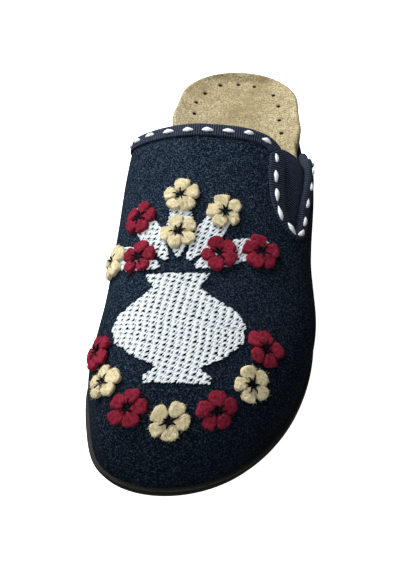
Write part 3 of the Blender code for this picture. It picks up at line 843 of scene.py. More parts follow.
def suede_finish(name, colour, tip):
    """Brushed suede: pale fibre specks over a dark ground. The colour is painted lighter towards the collar's
    inner side and painted darker, as shade, towards the toe and the outer side."""
    finish = Finish(name, {"Specular IOR Level": 0.05})
    fibre = finish.noise(scale=1600, detail=2.0, rough=0.6)
    tuft = finish.noise(scale=640, detail=2.0)
    patch = finish.noise(scale=38, detail=3.0)
    # Painted light and shade: a share along the axis, from painted shade at the toe and outer side to painted
    # light at the collar's inner side
    vectors = {0: finish.place, 1: PAINTED_LIGHT_AXIS}
    along_painted_light = finish.node("ShaderNodeVectorMath", {"operation": "DOT_PRODUCT"}, vectors, "Value")
    painted_light_share = along_painted_light.stretched(PAINTED_SHADE_END, PAINTED_LIGHT_END)
    specks = (fibre * 0.85 + tuft * 0.15).stretched(0.495, 0.645)
    shade = (tuft * 0.4 + patch * 0.6).stretched()
    deep = tint(colour, 0.7)
    raised = tint(colour, 1.3)
    # A lit copy and a painted shade copy of the suede; the shade copy has duller fibre tips
    painted_shade_tip = tint(tip, 0.62)
    lit = finish.mix(specks, finish.mix(shade, deep, raised), tip)
    dark = finish.mix(specks, deep, painted_shade_tip)
    finish.feed("Base Color", finish.mix(painted_light_share, dark, lit))
    finish.feed("Roughness", 1.0 - specks * 0.2)
    finish.relief(fibre * 0.6 + tuft * 0.4, depth=0.6 * MM, strength=0.8)
    return finish


def lining_finish(colour):
    """Close woven lining: two crossed sets of fine threads."""
    finish = Finish("dark_lining", {"Specular IOR Level": 0.2})
    one_way = finish.noise(scale=1.0, detail=1.0, place=finish.squeezed((2600, 260, 2600)))
    other_way = finish.noise(scale=1.0, detail=1.0, place=finish.squeezed((260, 2600, 260)))
    weave = one_way * 0.5 + other_way * 0.5
    worn = finish.noise(scale=60, detail=3.0)
    valley = tint(colour, 0.5)
    ridge = tint(colour, 1.6)
    dull = tint(colour, 0.6)
    thread = finish.mix(weave.stretched(), valley, ridge)
    finish.feed("Base Color", finish.mix(worn * 0.4, thread, dull))
    finish.feed("Roughness", 0.75 + worn * 0.2)
    finish.relief(weave, depth=0.25 * MM, strength=0.6)
    return finish


def tape_finish(colour):
    """Ribbed tape: a painted highlight on the ribs' crests and painted shade in their valleys, thread by
    thread.
    """
    finish = Finish("ribbed_tape", {"Specular IOR Level": 0.15, "Sheen Weight": 0.03})
    crest = finish.value("crest")
    thread = finish.noise(scale=2600, detail=2.0, rough=0.6)
    patch = finish.noise(scale=70, detail=2.0)
    # Painted light: the crests take a painted highlight colour and the valleys a painted shade colour
    lit = (crest * 0.7 + thread * 0.5).stretched(0.79, 1.04)
    lint = (thread * patch).stretched(0.34, 0.55)
    valley = tint(colour, 0.04)
    ridge = tint(colour, 6.2)
    pale = tint(colour, 5.0)
    finish.feed("Base Color", finish.mix(lint, finish.mix(lit, valley, ridge), pale))
    finish.feed("Roughness", 0.95 - crest * 0.2)
    finish.relief(thread, depth=0.12 * MM, strength=0.6)
    return finish


def elastic_finish(colour):
    """Elastic webbing: covered rubber strands side by side, crossed by a fine knit, with a painted highlight
    on the ribs' crests and painted shade in their valleys.
    """
    finish = Finish("elastic_webbing", {"Specular IOR Level": 0.15, "Sheen Weight": 0.03})
    crest = finish.value("crest")
    knit = finish.noise(scale=1.0, detail=1.0, place=finish.squeezed((3200, 500, 900)))
    fluff = finish.noise(scale=2200, detail=2.0)
    # Painted light: the crests take a painted highlight colour and the valleys a painted shade colour
    lit = (crest * 0.7 + knit * 0.25 + fluff * 0.25).stretched(0.79, 1.0)
    valley = tint(colour, 0.02)
    ridge = tint(colour, 6.6)
    pale = tint(colour, 6.0)
    ground = finish.mix(lit, valley, ridge)
    finish.feed("Base Color", finish.mix(fluff.stretched(0.60, 0.8), ground, pale))
    finish.feed("Roughness", 0.95 - crest * 0.2)
    finish.relief(knit * 0.7 + fluff * 0.3, depth=0.2 * MM, strength=0.6)
    return finish


def thread_finish(name, colour, shade, gloss):
    """Cotton thread: a clean strand with painted shade in the twists, and a little uneven along its length.
    """
    finish = Finish(name, {"Specular IOR Level": gloss})
    twist = finish.noise(scale=1900, detail=2.0, rough=0.6)
    strand = finish.noise(scale=420, detail=2.0)
    dull = tint(colour, 0.93)
    # Painted shade in the twists, the low places of the bump
    hollow = twist.stretched(0.62, 0.35) * 0.55
    ground = finish.mix(strand.stretched(), dull, colour)
    finish.feed("Base Color", finish.mix(hollow, ground, shade))
    finish.feed("Roughness", 0.5 + twist * 0.3)
    finish.relief(twist, depth=0.15 * MM, strength=0.5)
    return finish


def felt_finish(name, colour, deep):
    """Wool felt: matted fibres with painted shade in the hollows and a soft light bloom."""
    bloom = tint(colour, 1.6)
    finish = Finish(name, {
        "Specular IOR Level": 0.12,
        "Sheen Weight": 0.6,
        "Sheen Roughness": 0.5,
        "Sheen Tint": (*bloom, 1.0),
    })
    mat = finish.noise(scale=900, detail=4.0, rough=0.7)
    slanted = finish.squeezed((2600, 900, 1600), (0.3, 0.5, 0.8))
    fibre = finish.noise(scale=1.0, detail=2.0, rough=0.6, place=slanted)
    patch = finish.noise(scale=170, detail=2.0)
    # Painted shade in the hollows of the bump, in the deep colour
    hollow = (mat * 0.7 + fibre * 0.3).stretched(0.60, 0.40)
    dull = tint(colour, 0.78)
    bright = tint(colour, 1.2)
    ground = finish.mix(patch.stretched(), dull, bright)
    finish.feed("Base Color", finish.mix(hollow * 0.85, ground, deep))
    finish.feed("Roughness", 0.88 + fibre * 0.12)
    finish.relief(mat * 0.6 + fibre * 0.4, depth=0.8 * MM, strength=0.9)
    return finish


def footbed_finish(colour, stain):
    """Undyed suede on a footbed: mottled tan with a short pepper grain, and painted shade in the pricked
    holes.
    """
    finish = Finish("footbed_suede", {"Specular IOR Level": 0.08, "Sheen Weight": 0.05})
    pepper = finish.noise(scale=1150, detail=3.0, rough=0.75)
    mottle = finish.noise(scale=170, detail=4.0, rough=0.65)
    cloud = finish.noise(scale=34, detail=3.0, rough=0.55)
    hole = finish.value("hole")
    dark = tint(colour, 0.36)
    pale = tint(colour, 1.56)
    pricked = tint(stain, 0.06)
    ground = finish.mix(pepper.stretched(0.36, 0.64), dark, pale)
    marked = (cloud * 0.5 + mottle * 0.5).stretched(0.45, 0.63) * 0.75
    worn = finish.mix(marked, ground, stain)
    # Painted shade in the pinholes: the pricked colour, weighted by the hole's bell curve stored on the mesh
    finish.feed("Base Color", finish.mix(hole.stretched(0.08, 0.42), worn, pricked))
    finish.feed("Roughness", 0.85 + pepper * 0.15)
    finish.relief(pepper * 0.6 + mottle * 0.4, depth=0.45 * MM, strength=0.7)
    return finish


def foam_finish(colour, dust_and_highlight):
    """Moulded foam: near black with fine pores, faint pale scuffs and a dusty colour on the edges: worked
    into the scuffed edges, and a painted highlight along the top edge.
    """
    finish = Finish("sole_foam", {"Specular IOR Level": 0.2})
    pores = finish.noise(scale=1700, detail=3.0, rough=0.6)
    scuff = finish.noise(scale=95, detail=4.0, rough=0.7)
    dark = tint(colour, 0.6)
    plain = tint(colour, 1.35)
    pale = tint(colour, 4.0)
    ground = finish.mix(pores.stretched(), dark, plain)
    scuffed = finish.mix(scuff.stretched(0.60, 0.82) * 0.35, ground, pale)
    # Painted highlight along the sole's top edge and real scuffing on its other edges, weighted by the value
    # stored on the mesh
    wear_and_highlight_mask = finish.value("wear") * (scuff * 0.7 + pores * 0.3).stretched(0.35, 0.65)
    finish.feed("Base Color", finish.mix(wear_and_highlight_mask, scuffed, dust_and_highlight))
    finish.feed("Roughness", 0.5 + scuff * 0.3)
    finish.relief(pores * 0.7 + scuff * 0.3, depth=0.2 * MM, strength=0.5)
    return finish


def floor_finish(colour):
    """Pale matt floor with a barely visible mottle and a glow of its own that keeps it white."""
    constants = {"Specular IOR Level": 0.0, "Roughness": 1.0, "Emission Strength": FLOOR_GLOW}
    finish = Finish("pale_floor", constants)
    dull = tint(colour, 0.985)
    mottle = finish.mix(finish.noise(scale=9, detail=2.0), dull, colour)
    finish.feed("Base Color", mottle)
    finish.feed("Emission Color", mottle)
    return finish


def length_property(name, description, default):
    """A length in metres."""
    return FloatProperty(name=name, description=description, default=default, unit="LENGTH")


class SlipperSizes(bpy.types.PropertyGroup):
    """Sizes of the trim that a user may change."""

    rib_pitch: length_property("Tape rib pitch", "Distance between the ribs of the binding tape", 1.05 * MM)
    rib_depth: length_property("Tape rib depth", "Height of the tape's ribs above their valleys", 0.22 * MM)
    stitch_length: length_property("Running stitch length", "Visible length of each stitch", 5.6 * MM)
    stitch_width: length_property("Running stitch width", "Width of the thick thread on the tape", 2.1 * MM)
    thread_pitch: length_property("Fill thread pitch", "Distance between neighbouring threads", 0.45 * MM)
    thread_length: length_property("Fill stitch length", "Length of one stitch in the embroidery", 3.7 * MM)
    thread_gap: length_property("Fill stitch gap", "Gap at the needle holes between stitches", 1.05 * MM)
    thread_turn: FloatProperty(
        name="Fill stitch direction",
        description="Direction of the threads, turned up from straight across the vamp",
        default=np.radians(24),
        subtype="ANGLE",
    )
    petal_height: length_property("Petal height", "Height of the felt petals above the suede", 2.9 * MM)
    hole_radius: length_property("Pinhole radius", "Radius of the holes pricked in the footbed", 0.95 * MM)
    hole_depth: length_property("Pinhole depth", "Depth of the holes pricked in the footbed", 1.6 * MM)
    seed: IntProperty(
        name="Seed",
        description="Number that the small irregularities start from",
        default=7,
    )


def colour_property(name, description, default):
    """A linear colour without alpha."""
    return FloatVectorProperty(
        name=name, description=description, default=default, subtype="COLOR", size=3, min=0.0, max=1.0
    )


class SlipperColours(bpy.types.PropertyGroup):
    """Colours that a user may change."""

    suede: colour_property("Suede", "Ground colour of the upper", (0.0014, 0.0050, 0.0130))
    suede_tip: colour_property("Suede tips", "Paler fibre tips of the suede", (0.0435, 0.065, 0.091))
    lining: colour_property("Lining", "Cloth inside the upper", (0.012, 0.013, 0.018))
    tape: colour_property("Tape", "Ribbed tape of the binding", (0.0076, 0.0118, 0.0230))
    elastic: colour_property("Elastic", "Webbing of the gore", (0.0100, 0.0145, 0.0272))
    thread: colour_property("Thread", "White embroidery thread", (0.745, 0.795, 0.815))
    thread_shade: colour_property("Thread shade", "Twists of the white thread", (0.52, 0.58, 0.64))
    red: colour_property("Red felt", "Petals of the red flowers", (0.225, 0.0150, 0.0365))
    # Painted shade colour for the hollows of the red felt
    red_hollow_shade: colour_property("Red hollows", "Hollows in the red felt", (0.09, 0.004, 0.010))
    cream: colour_property("Cream felt", "Petals of the cream flowers", (0.65, 0.595, 0.42))
    # Painted shade colour for the hollows of the cream felt
    cream_hollow_shade: colour_property("Cream hollows", "Hollows in the cream felt", (0.44, 0.34, 0.14))
    star: colour_property("Centre thread", "Dark thread in the flowers' centres", (0.003, 0.004, 0.007))
    footbed: colour_property("Footbed", "Undyed suede of the footbed", (0.345, 0.297, 0.177))
    footbed_stain: colour_property("Footbed marks", "Darker marks on the footbed", (0.19, 0.14, 0.068))
    foam: colour_property("Foam", "Moulded sole", (0.005, 0.0053, 0.0052))
    # Partly a painted highlight along the sole's top edge
    foam_dust_and_highlight: colour_property("Foam dust", "Dust on the sole's worn edges", (0.060, 0.055, 0.036))
    floor: colour_property("Floor", "Pale floor under the slipper", (0.92, 0.92, 0.92))


def ring_rows(share, inset):
    """One level of the sole's outline at shares of its length: y with the inner and outer x."""
    y = (0.5 - share) * (LENGTH - 2 * inset)
    inner, outer = edges(y, inset)
    return y, inner, outer


def loop_of(outer_side, inner_side):
    """One closed ring from two sides that share their first and last point."""
    return np.concatenate([outer_side, inner_side[1:-1][::-1]])


def sides_of(ring, rows):
    """The outer and inner side of such a ring again, each with both ends."""
    back = np.concatenate([ring[:1], ring[rows:][::-1], ring[rows - 1:rows]])
    return ring[:rows], back


def columns_between(inner, outer, count):
    """Shares from the outer edge, 1, to the inner one, -1, without the edges, and their x on each row."""
    columns = np.linspace(1, -1, count + 2)[1:-1]
    return columns, (inner + outer)[:, None] / 2 + (outer - inner)[:, None] / 2 * columns


def filling(ring, first, x, y, z):
    """Points of a grid inside a closed ring, numbered on from first, and the faces that join them to it."""
    grid = np.stack(np.broadcast_arrays(x, y[:, None], z), axis=-1)[1:-1]
    numbers = first + np.arange(grid[..., 0].size).reshape(grid.shape[:2])
    outer_side, inner_side = sides_of(ring, len(y))
    middle = np.concatenate([outer_side[1:-1, None], numbers, inner_side[1:-1, None]], axis=1)
    heel = np.full((1, middle.shape[1]), outer_side[0])
    toe = np.full((1, middle.shape[1]), outer_side[-1])
    return grid.reshape(-1, 3), quads_of(np.concatenate([heel, middle, toe]))


def build_sole(sizes, colours):
    """The wedge: rings of the outline moved in by the side's inset and blended from tread to top,
    a plain top, and a tread of channels with a waffle of crossed cosines between them."""
    turn = np.linspace(0, np.pi, SOLE_ROWS)
    flanks = CHANNELS[:, None] + np.array([-1, 1]) * CHANNEL_WIDTH / 2
    flanks = np.concatenate([flanks.ravel() - CHANNEL_FLANK / 2, flanks.ravel() + CHANNEL_FLANK / 2])
    share = np.unique(np.concatenate([(1 - np.cos(turn)) / 2, flanks]))
    rows = len(share)
    wall = np.flatnonzero(np.diff(SOLE_SIDE["blend"]))[0]
    levels = np.arange(len(SOLE_SIDE["blend"]))
    levels = np.sort(np.append(levels, wall + np.linspace(0, 1, SOLE_WALL_LEVELS + 2)[1:-1]))
    profile = {key: np.interp(levels, np.arange(len(column)), column) for key, column in SOLE_SIDE.items()}
    rings = []
    for inset, blend, lift in zip(profile["inset"] * MM, profile["blend"], profile["lift"] * MM):
        y, inner, outer = ring_rows(share, inset)
        z = sole_bottom(share) * (1 - blend) + sole_top(y) * blend + lift
        rings.append(loop_of(np.stack([outer, y, z], axis=-1), np.stack([inner, y, z], axis=-1)))
    points = np.concatenate(rings)
    index = np.arange(len(points)).reshape(len(rings), -1)
    faces = [quads_of(ring_grid(index)), quads_of(np.stack(sides_of(index[-1], rows), axis=-1))]

    y, inner, outer = ring_rows(share, SOLE_SIDE["inset"][0] * MM)
    columns, x = columns_between(inner, outer, TREAD_COLUMNS)
    away = np.min(np.abs(share[:, None] - CHANNELS), axis=1)
    channel = smooth((CHANNEL_WIDTH / 2 + CHANNEL_FLANK / 2 - away) / CHANNEL_FLANK)[:, None]
    channel = channel * smooth((CHANNEL_REACH + CHANNEL_END - np.abs(columns)) / CHANNEL_END)
    waffle = np.cos(2 * np.pi * x / WAFFLE_PITCH) * np.cos(2 * np.pi * y[:, None] / WAFFLE_PITCH)
    waffle = smooth(waffle) * smooth((WAFFLE_REACH - np.abs(columns)) / CHANNEL_END)
    z = sole_bottom(share)[:, None] + np.maximum(CHANNEL_DEPTH * channel, WAFFLE_DEPTH * waffle)
    field, quads = filling(index[0], len(points), x, y, z)
    faces.append(quads)
    # A weight for the scuffed edges and for the painted highlight along the top edge
    wear = np.concatenate([np.repeat(profile["wear"], index.shape[1]), np.zeros(len(field))])
    finish = foam_finish(colours.foam, colours.foam_dust_and_highlight)
    points = np.concatenate([points, field])
    return make_piece("wedge_sole", points, faces, [finish], ["outsole"], floats={"wear": wear})


def footbed_sides(y, inset):
    """Edges of the footbed: near the outline at the heel and inside the upper's wall in front, with a
    shallow notch on the outer side for the fold of the tape."""
    heel_inner, heel_outer = edges(y, FOOTBED_HEEL_INSET + inset)
    front_inner, front_outer = edges(y, FOOTBED_COVERED_INSET + inset)
    inner_share = smooth((COVER_START_INNER - y) / COVER_RUN)
    outer_share = smooth((COVER_START_OUTER - y) / COVER_RUN)
    inner = heel_inner + (front_inner - heel_inner) * inner_share
    notch = NOTCH * smooth((NOTCH_HEEL - y) / NOTCH_RUN) * smooth((y - NOTCH_TOE) / NOTCH_RUN)
    outer = heel_outer + (front_outer - heel_outer) * outer_share - notch
    return inner, outer


def footbed_top(y, column):
    """Height of the footbed: a cup at the heel and an arch on the inner side."""
    station = station_of(y)
    thickness = through(station, FOOTBED["station"], FOOTBED["thickness"])
    cup = through(station, FOOTBED["station"], FOOTBED["cup"]) * np.abs(column) ** CUP_POWER
    arch = through(station, FOOTBED["station"], FOOTBED["arch"]) * smooth(-column / ARCH_WIDTH)
    return sole_top(y) + (thickness + cup + arch) * MM


def build_footbed(sizes, colours):
    """The footbed: rings up its side with a quarter-round edge, then a cupped top with pricked holes.
    Each hole is a bell curve of the distance to its place, pressed into the top."""
    open_rows = FOOTBED_OPEN_SHARE * np.linspace(0, 1, FOOTBED_OPEN_ROWS) ** FOOTBED_ROW_POWER
    covered = np.linspace(0, np.pi / 2, FOOTBED_COVERED_ROWS + 1)[1:]
    share = np.concatenate([open_rows, FOOTBED_OPEN_SHARE + (1 - FOOTBED_OPEN_SHARE) * np.sin(covered)])
    rows = len(share)
    heel_end = LENGTH / 2 - FOOTBED_HEEL_INSET
    toe_end = -LENGTH / 2 + FOOTBED_COVERED_INSET

    def level(inset):
        y = (heel_end - inset) + (toe_end - heel_end + 2 * inset) * share
        return y, *footbed_sides(y, inset)

    def ring(y, inner, outer, outer_z, inner_z):
        down = np.stack([outer, y, outer_z], axis=-1)
        back = np.stack([inner, y, inner_z], axis=-1)
        down[[0, -1]] = (down[[0, -1]] + back[[0, -1]]) / 2
        return loop_of(down, back)

    rings = []
    for inset, rise in ((FOOTBED_BEVEL, 0.0), (0.0, FOOTBED_BEVEL)):
        y, inner, outer = level(inset)
        low = sole_top(y) + GAP + rise
        rings.append(ring(y, inner, outer, low, low))
    quarter = np.linspace(0, np.pi / 2, FOOTBED_EDGE_LEVELS)
    for inset, drop in zip(FOOTBED_EDGE * (1 - np.cos(quarter)), FOOTBED_EDGE * (1 - np.sin(quarter))):
        y, inner, outer = level(inset)
        rings.append(ring(y, inner, outer, footbed_top(y, 1) - drop, footbed_top(y, -1) - drop))
    points = np.concatenate(rings)
    index = np.arange(len(points)).reshape(len(rings), -1)
    faces = [quads_of(ring_grid(index)), quads_of(np.stack(sides_of(index[0], rows), axis=-1))]

    y, inner, outer = level(FOOTBED_EDGE)
    columns, x = columns_between(inner, outer, FOOTBED_COLUMNS)
    ends = smooth(np.minimum(share, 1 - share) / FOOTBED_END)[:, None]
    rim = (footbed_top(y, 1) + footbed_top(y, -1))[:, None] / 2
    z = rim + (footbed_top(y[:, None], columns) - rim) * ends
    away_x = x[..., None] - PINHOLES["x"] * MM
    away_y = y[:, None, None] - PINHOLES["y"] * MM
    apart = (away_x ** 2 + away_y ** 2) / sizes.hole_radius ** 2
    near = np.exp(-apart ** HOLE_STEEPNESS).sum(axis=-1)
    z = z - sizes.hole_depth * near
    field, quads = filling(index[-1], len(points), x, y, z)
    faces.append(quads)
    holes = np.concatenate([np.zeros(len(points)), near[1:-1].ravel()])
    finish = footbed_finish(colours.footbed, colours.footbed_stain)
    piece = make_piece(
        "suede_footbed", np.concatenate([points, field]), faces, [finish], ["footbed"],
        floats={"hole": holes},
    )
    return piece


def build_upper(sizes, colours):
    """The upper: a front grid from the toe, then the vamp and the quarter on either side of the slit.
    The outer face is the swollen superellipse with soft dents; the inner face lies a wall inside it."""
    vamp_shares = closer(VAMP_KNOTS, VAMP_COLUMNS)
    quarter_shares = closer(QUARTER_KNOTS, QUARTER_COLUMNS)
    front_share = (np.arange(1, FRONT_ROWS + 1) / FRONT_ROWS) ** FRONT_SPACING
    front_y = -TIP + (SLIT_TIP + TIP) * front_share[:, None]
    split = np.radians(SLIT_CENTRE_TIP)
    front_angles = np.concatenate([split * quarter_shares, (split + (np.pi - split) * vamp_shares)[1:]])
    rear_share = ((np.arange(1, REAR_ROWS + 1) / REAR_ROWS) ** REAR_SPACING)[:, None]
    quarter_rows = SLIT_TIP + (quarter_y(quarter_shares) - SLIT_TIP) * rear_share
    vamp_rows = SLIT_TIP + (collar_y(vamp_shares) - SLIT_TIP) * rear_share
    places = [
        np.broadcast_arrays(front_y, front_angles),
        (quarter_rows, quarter_angle(quarter_rows, quarter_shares)),
        (vamp_rows, vamp_angle(vamp_rows, vamp_shares)),
    ]
    y = np.concatenate([place[0].ravel() for place in places])
    angle = np.concatenate([place[1].ravel() for place in places])
    face = upper_point(y, angle)
    normal = upper_normal(y, angle)
    inner = face - WALL * normal
    calm = smooth((face[:, 2] - sole_top(y)) / DENT_FADE)
    dents = lumps(face, SOFT_DENT_SIZE, sizes.seed) * SOFT_DENT * calm
    outer = face + np.minimum(dents, 0)[:, None] * normal
    tip = np.array([[TOE_CENTRE * MM, -TIP, sole_top(-TIP) + GAP]])
    outer = np.concatenate([tip, outer])
    inner = np.concatenate([tip + np.array([[0, WALL, 0]]), inner])
    border = np.concatenate([[True], np.isin(angle, (0.0, np.pi))])
    inner[border, 2] = outer[border, 2]

    columns = len(front_angles)
    front = 1 + np.arange(FRONT_ROWS * columns).reshape(FRONT_ROWS, columns)
    quarter = front.max() + 1 + np.arange(quarter_rows.size).reshape(quarter_rows.shape)
    vamp = quarter.max() + 1 + np.arange(vamp_rows.size).reshape(vamp_rows.shape)
    shared = len(quarter_shares)
    quads = np.concatenate([
        quads_of(np.concatenate([np.zeros((1, columns), int), front])),
        quads_of(np.concatenate([front[-1:, :shared], quarter])),
        quads_of(np.concatenate([front[-1:, shared - 1:], vamp])),
    ])
    points, faces = shell(outer, inner, quads)
    counts = [len(part) for part in faces]
    inside = np.concatenate([np.full(count, number == 1) for number, count in enumerate(counts)])
    finishes = [suede_finish("navy_suede", colours.suede, colours.suede_tip), lining_finish(colours.lining)]
    return make_piece("suede_upper", points, faces, finishes, ["upper"], material_index=inside)


def edge_path():
    """Places along the upper's whole bound edge, evenly spaced from the inner feather line to the outer one,
    with the distance run to each."""
    collar = np.linspace(1 - TAPE_FEATHER_SHARE, 0, PATH_POINTS)
    collar_edge = (collar_y(collar), vamp_angle(collar_y(collar), collar))
    nose = np.linspace(1, 0, PATH_POINTS) ** 2
    high = SLIT_TIP + (collar_y(0.0) - SLIT_TIP) * nose
    low = (SLIT_TIP + (quarter_y(1.0) - SLIT_TIP) * nose)[-2::-1]
    rear = np.linspace(1, 2 * TAPE_FEATHER_SHARE, PATH_POINTS)
    rear_edge = (quarter_y(rear), quarter_angle(quarter_y(rear), rear))
    y = np.concatenate([collar_edge[0], high[1:], low, rear_edge[0][1:]])
    angles = [collar_edge[1], vamp_angle(high[1:], 0), quarter_angle(low, 1), rear_edge[1][1:]]
    angle = np.concatenate(angles)
    run = np.append(0, np.cumsum(np.linalg.norm(np.diff(upper_point(y, angle), axis=0), axis=1)))
    even = np.linspace(0, run[-1], int(run[-1] / PATH_SPACING) + 1)
    return np.interp(even, run, y), np.interp(even, run, angle), even


def path_frame(y, angle):
    """Points of the path with the outward normal and the heading into the upper."""
    points = upper_point(y, angle)
    normal = upper_normal(y, angle)
    ahead = unit(np.gradient(points, axis=0))
    return points, normal, unit(np.cross(ahead, normal))


def build_binding(sizes, colours):
    """The tape: a thin folded profile carried along the upper's edge: in over the outer face, round the edge
    on a half circle and a little way up the inside. A rounded wave along the run raises its ribs."""
    y, angle, run = edge_path()
    points, normal, heading = path_frame(y, angle)
    from_tip = (run - run[np.argmin(y)]) / MM
    width = np.interp(from_tip, TAPE_WIDTH["from_tip"], TAPE_WIDTH["width"]) * MM
    crest = np.sqrt(np.abs(np.cos(np.pi * run / sizes.rib_pitch)))
    rib = sizes.rib_depth * (crest - 1)
    outside = TAPE_GAP + TAPE
    inside = -WALL - TAPE_GAP

    def on_face(reach, height):
        there = walk(y, angle, heading, reach)
        return upper_point(*there) + np.broadcast_to(height, y.shape)[:, None] * upper_normal(*there)

    def off_edge(reach, height):
        reach = np.broadcast_to(reach, y.shape)[:, None]
        return points + reach * heading + np.broadcast_to(height, y.shape)[:, None] * normal

    rings = [on_face(width - TAPE_TUCK, 0.0)]
    shares = np.linspace(1, 0, TAPE_FACE_STEPS)[:-1]
    swells = outside * np.append(TAPE_EDGE_SWELL, np.ones(len(shares) - len(TAPE_EDGE_SWELL)))
    for share, swell in zip(shares, swells):
        rings.append(on_face(width * share, swell + rib))
    bend = np.linspace(0, np.pi, TAPE_BEND_STEPS)
    radius = (outside + WALL + TAPE_GAP + TAPE) / 2
    for turn in bend:
        reach = -(radius + rib) * np.sin(turn)
        rings.append(off_edge(reach, outside - radius + (radius + rib) * np.cos(turn)))
    hem = np.full(len(y), TAPE_INSIDE)
    rings += [on_face(hem / 2, inside - TAPE - rib), on_face(hem, inside - TAPE - rib)]
    rings += [on_face(hem, inside), off_edge(0, inside), off_edge(-TAPE_GAP, -WALL / 2), off_edge(0, 0)]
    grid = np.stack(rings, axis=1)
    count = len(rings)
    index = np.arange(len(y) * count).reshape(len(y), count)
    faces = [quads_of(ring_grid(index)), index[:1], index[-1:]]
    finish = tape_finish(colours.tape)
    return make_piece(
        "ribbed_binding", grid.reshape(-1, 3), faces, [finish], ["collar_binding"],
        floats={"crest": np.repeat(crest, count)},
    )


def build_running_stitches(sizes, colours):
    """Thick white stitches on the tape: lightly twisted spindles along the path, whose ends dip into it. A
    power of one minus the square of a skewed share gives their body. The same row of noise, rolled on,
    gives each stitch its own length, lean, skew and width."""
    y, angle, run = edge_path()
    _, _, heading = path_frame(y, angle)
    along = np.linspace(-1, 1, STITCH_STATIONS)
    wander = lumps(np.stack([STITCHES["run"]] * 3, axis=-1), STITCH_WANDER, sizes.seed)
    length = sizes.stitch_length * (1 + STITCH_UNEVEN * wander)
    spot = STITCHES["run"][:, None] * MM + length[:, None] / 2 * along
    lean = STITCH_LEAN * np.roll(wander, STITCH_ROLLS["lean"])[:, None] * along
    reach = STITCHES["reach"][:, None] * MM + lean

    def at(values):
        return np.stack([np.interp(spot, run, column) for column in np.atleast_2d(values)], axis=-1)

    there = walk(at(y)[..., 0], at(angle)[..., 0], unit(at(heading.T)), reach)
    centre = upper_point(*there)
    normal = upper_normal(*there)
    ahead = unit(np.gradient(centre, axis=1))
    side = np.cross(normal, ahead)
    skew = STITCH_SKEW * np.roll(wander, STITCH_ROLLS["skew"])[:, None]
    skewed = along + skew * (1 - along ** 2)
    body = np.clip(1 - skewed ** 2, 0, None) ** STITCH_POINT
    lift = TAPE_GAP + TAPE + (STITCH_RISE * body - STITCH_SINK) * sizes.stitch_width
    around = np.linspace(0, 2 * np.pi, STITCH_SIDES, endpoint=False)
    twist = 1 + STITCH_TWIST * np.cos(2 * around + STITCH_TWIST_TURNS * along[:, None])
    width = sizes.stitch_width * (1 + STITCH_UNEVEN * np.roll(wander, STITCH_ROLLS["width"]))
    half = width[:, None, None] / 2 * (STITCH_END + (1 - STITCH_END) * body)[..., None] * twist
    across = (half * np.cos(around))[..., None] * side[:, :, None]
    out = (lift[..., None] + STITCH_FLATNESS * half * np.sin(around))[..., None] * normal[:, :, None]
    points, faces = tubes(centre[:, :, None] + across + out)
    finish = thread_finish("thick_white_thread", colours.thread, colours.thread_shade, WHITE_GLOSS)
    return make_piece("binding_stitches", points, faces, [finish])


def build_gore(sizes, colours):
    """The elastic panel behind the slit: the upper's face moved in, with rounded ribs that run across it and
    a rear edge that arches back."""
    share = np.linspace(0, 1, GORE_COLUMNS)
    arch = GORE_REAR_ARC * np.sin(np.pi * share)
    rear = GORE_REAR_LOW + (GORE_REAR_HIGH - GORE_REAR_LOW) * share + arch
    front = SLIT_TIP - GORE_LAP_FRONT
    row = np.linspace(0, 1, GORE_ROWS)[:, None]
    y = front + (rear - front) * row
    low, high = slit_angles(y)
    lap = np.radians(GORE_LAP)
    angle = (low - lap) + (high - low + 2 * lap) * share
    normal = upper_normal(y, angle)
    crest = np.broadcast_to(np.sqrt(np.abs(np.sin(np.pi * GORE_RIBS * row))), y.shape)
    depth = GORE_DEPTH + sizes.rib_depth * (1 - crest)
    face = upper_point(y, angle)
    outer = (face - depth[..., None] * normal).reshape(-1, 3)
    inner = (face - (GORE_DEPTH + GORE_WALL) * normal).reshape(-1, 3)
    points, faces = shell(outer, inner, quads_of(np.arange(y.size).reshape(y.shape)))
    finish = elastic_finish(colours.elastic)
    return make_piece(
        "elastic_panel", points, faces, [finish], ["elastic_gore"],
        floats={"crest": np.tile(crest.ravel(), 2)},
    )


def steps_along(values, knots):
    """Where values lie among even knots, counted in steps and held inside the last step."""
    return np.clip((values - knots[0]) / (knots[1] - knots[0]), 0, len(knots) - 1 - STEP_MARGIN)


class VampChart:
    """Flat places on the vamp, worked out once on a grid: along the spine by b, then across by a."""

    def __init__(self):
        spine_y = np.linspace(SPINE["y"][0], SPINE["y"][-1], SPINE_POINTS) * MM
        spine_angle = np.radians(np.interp(spine_y / MM, SPINE["y"], SPINE["angle"]))
        spine = upper_point(spine_y, spine_angle)
        run = np.append(0, np.cumsum(np.linalg.norm(np.diff(spine, axis=0), axis=1)))
        run -= np.interp(SPINE_START, spine_y, run)
        a, b = np.meshgrid(CHART_A, CHART_B, indexing="ij")
        y = np.interp(b, run, spine_y)
        angle = np.interp(b, run, spine_angle)
        heading = np.broadcast_to([np.cos(DECORATION_TURN), np.sin(DECORATION_TURN), 0], (*a.shape, 3))
        y, angle = walk(y, angle, heading, a)
        self.faces = np.concatenate([upper_point(y, angle), upper_normal(y, angle)], axis=-1)

    def lay(self, a, b, lift):
        """Points over flat places, at a lift out from the face: blended between the grid's corners."""
        row = steps_along(a, CHART_A)
        column = steps_along(b, CHART_B)
        i, j = row.astype(int), column.astype(int)
        u, v = (row - i)[..., None], (column - j)[..., None]
        near = self.faces[i, j] * (1 - v) + self.faces[i, j + 1] * v
        far = self.faces[i + 1, j] * (1 - v) + self.faces[i + 1, j + 1] * v
        both = near * (1 - u) + far * u
        return both[..., :3] + np.asarray(lift)[..., None] * unit(both[..., 3:])


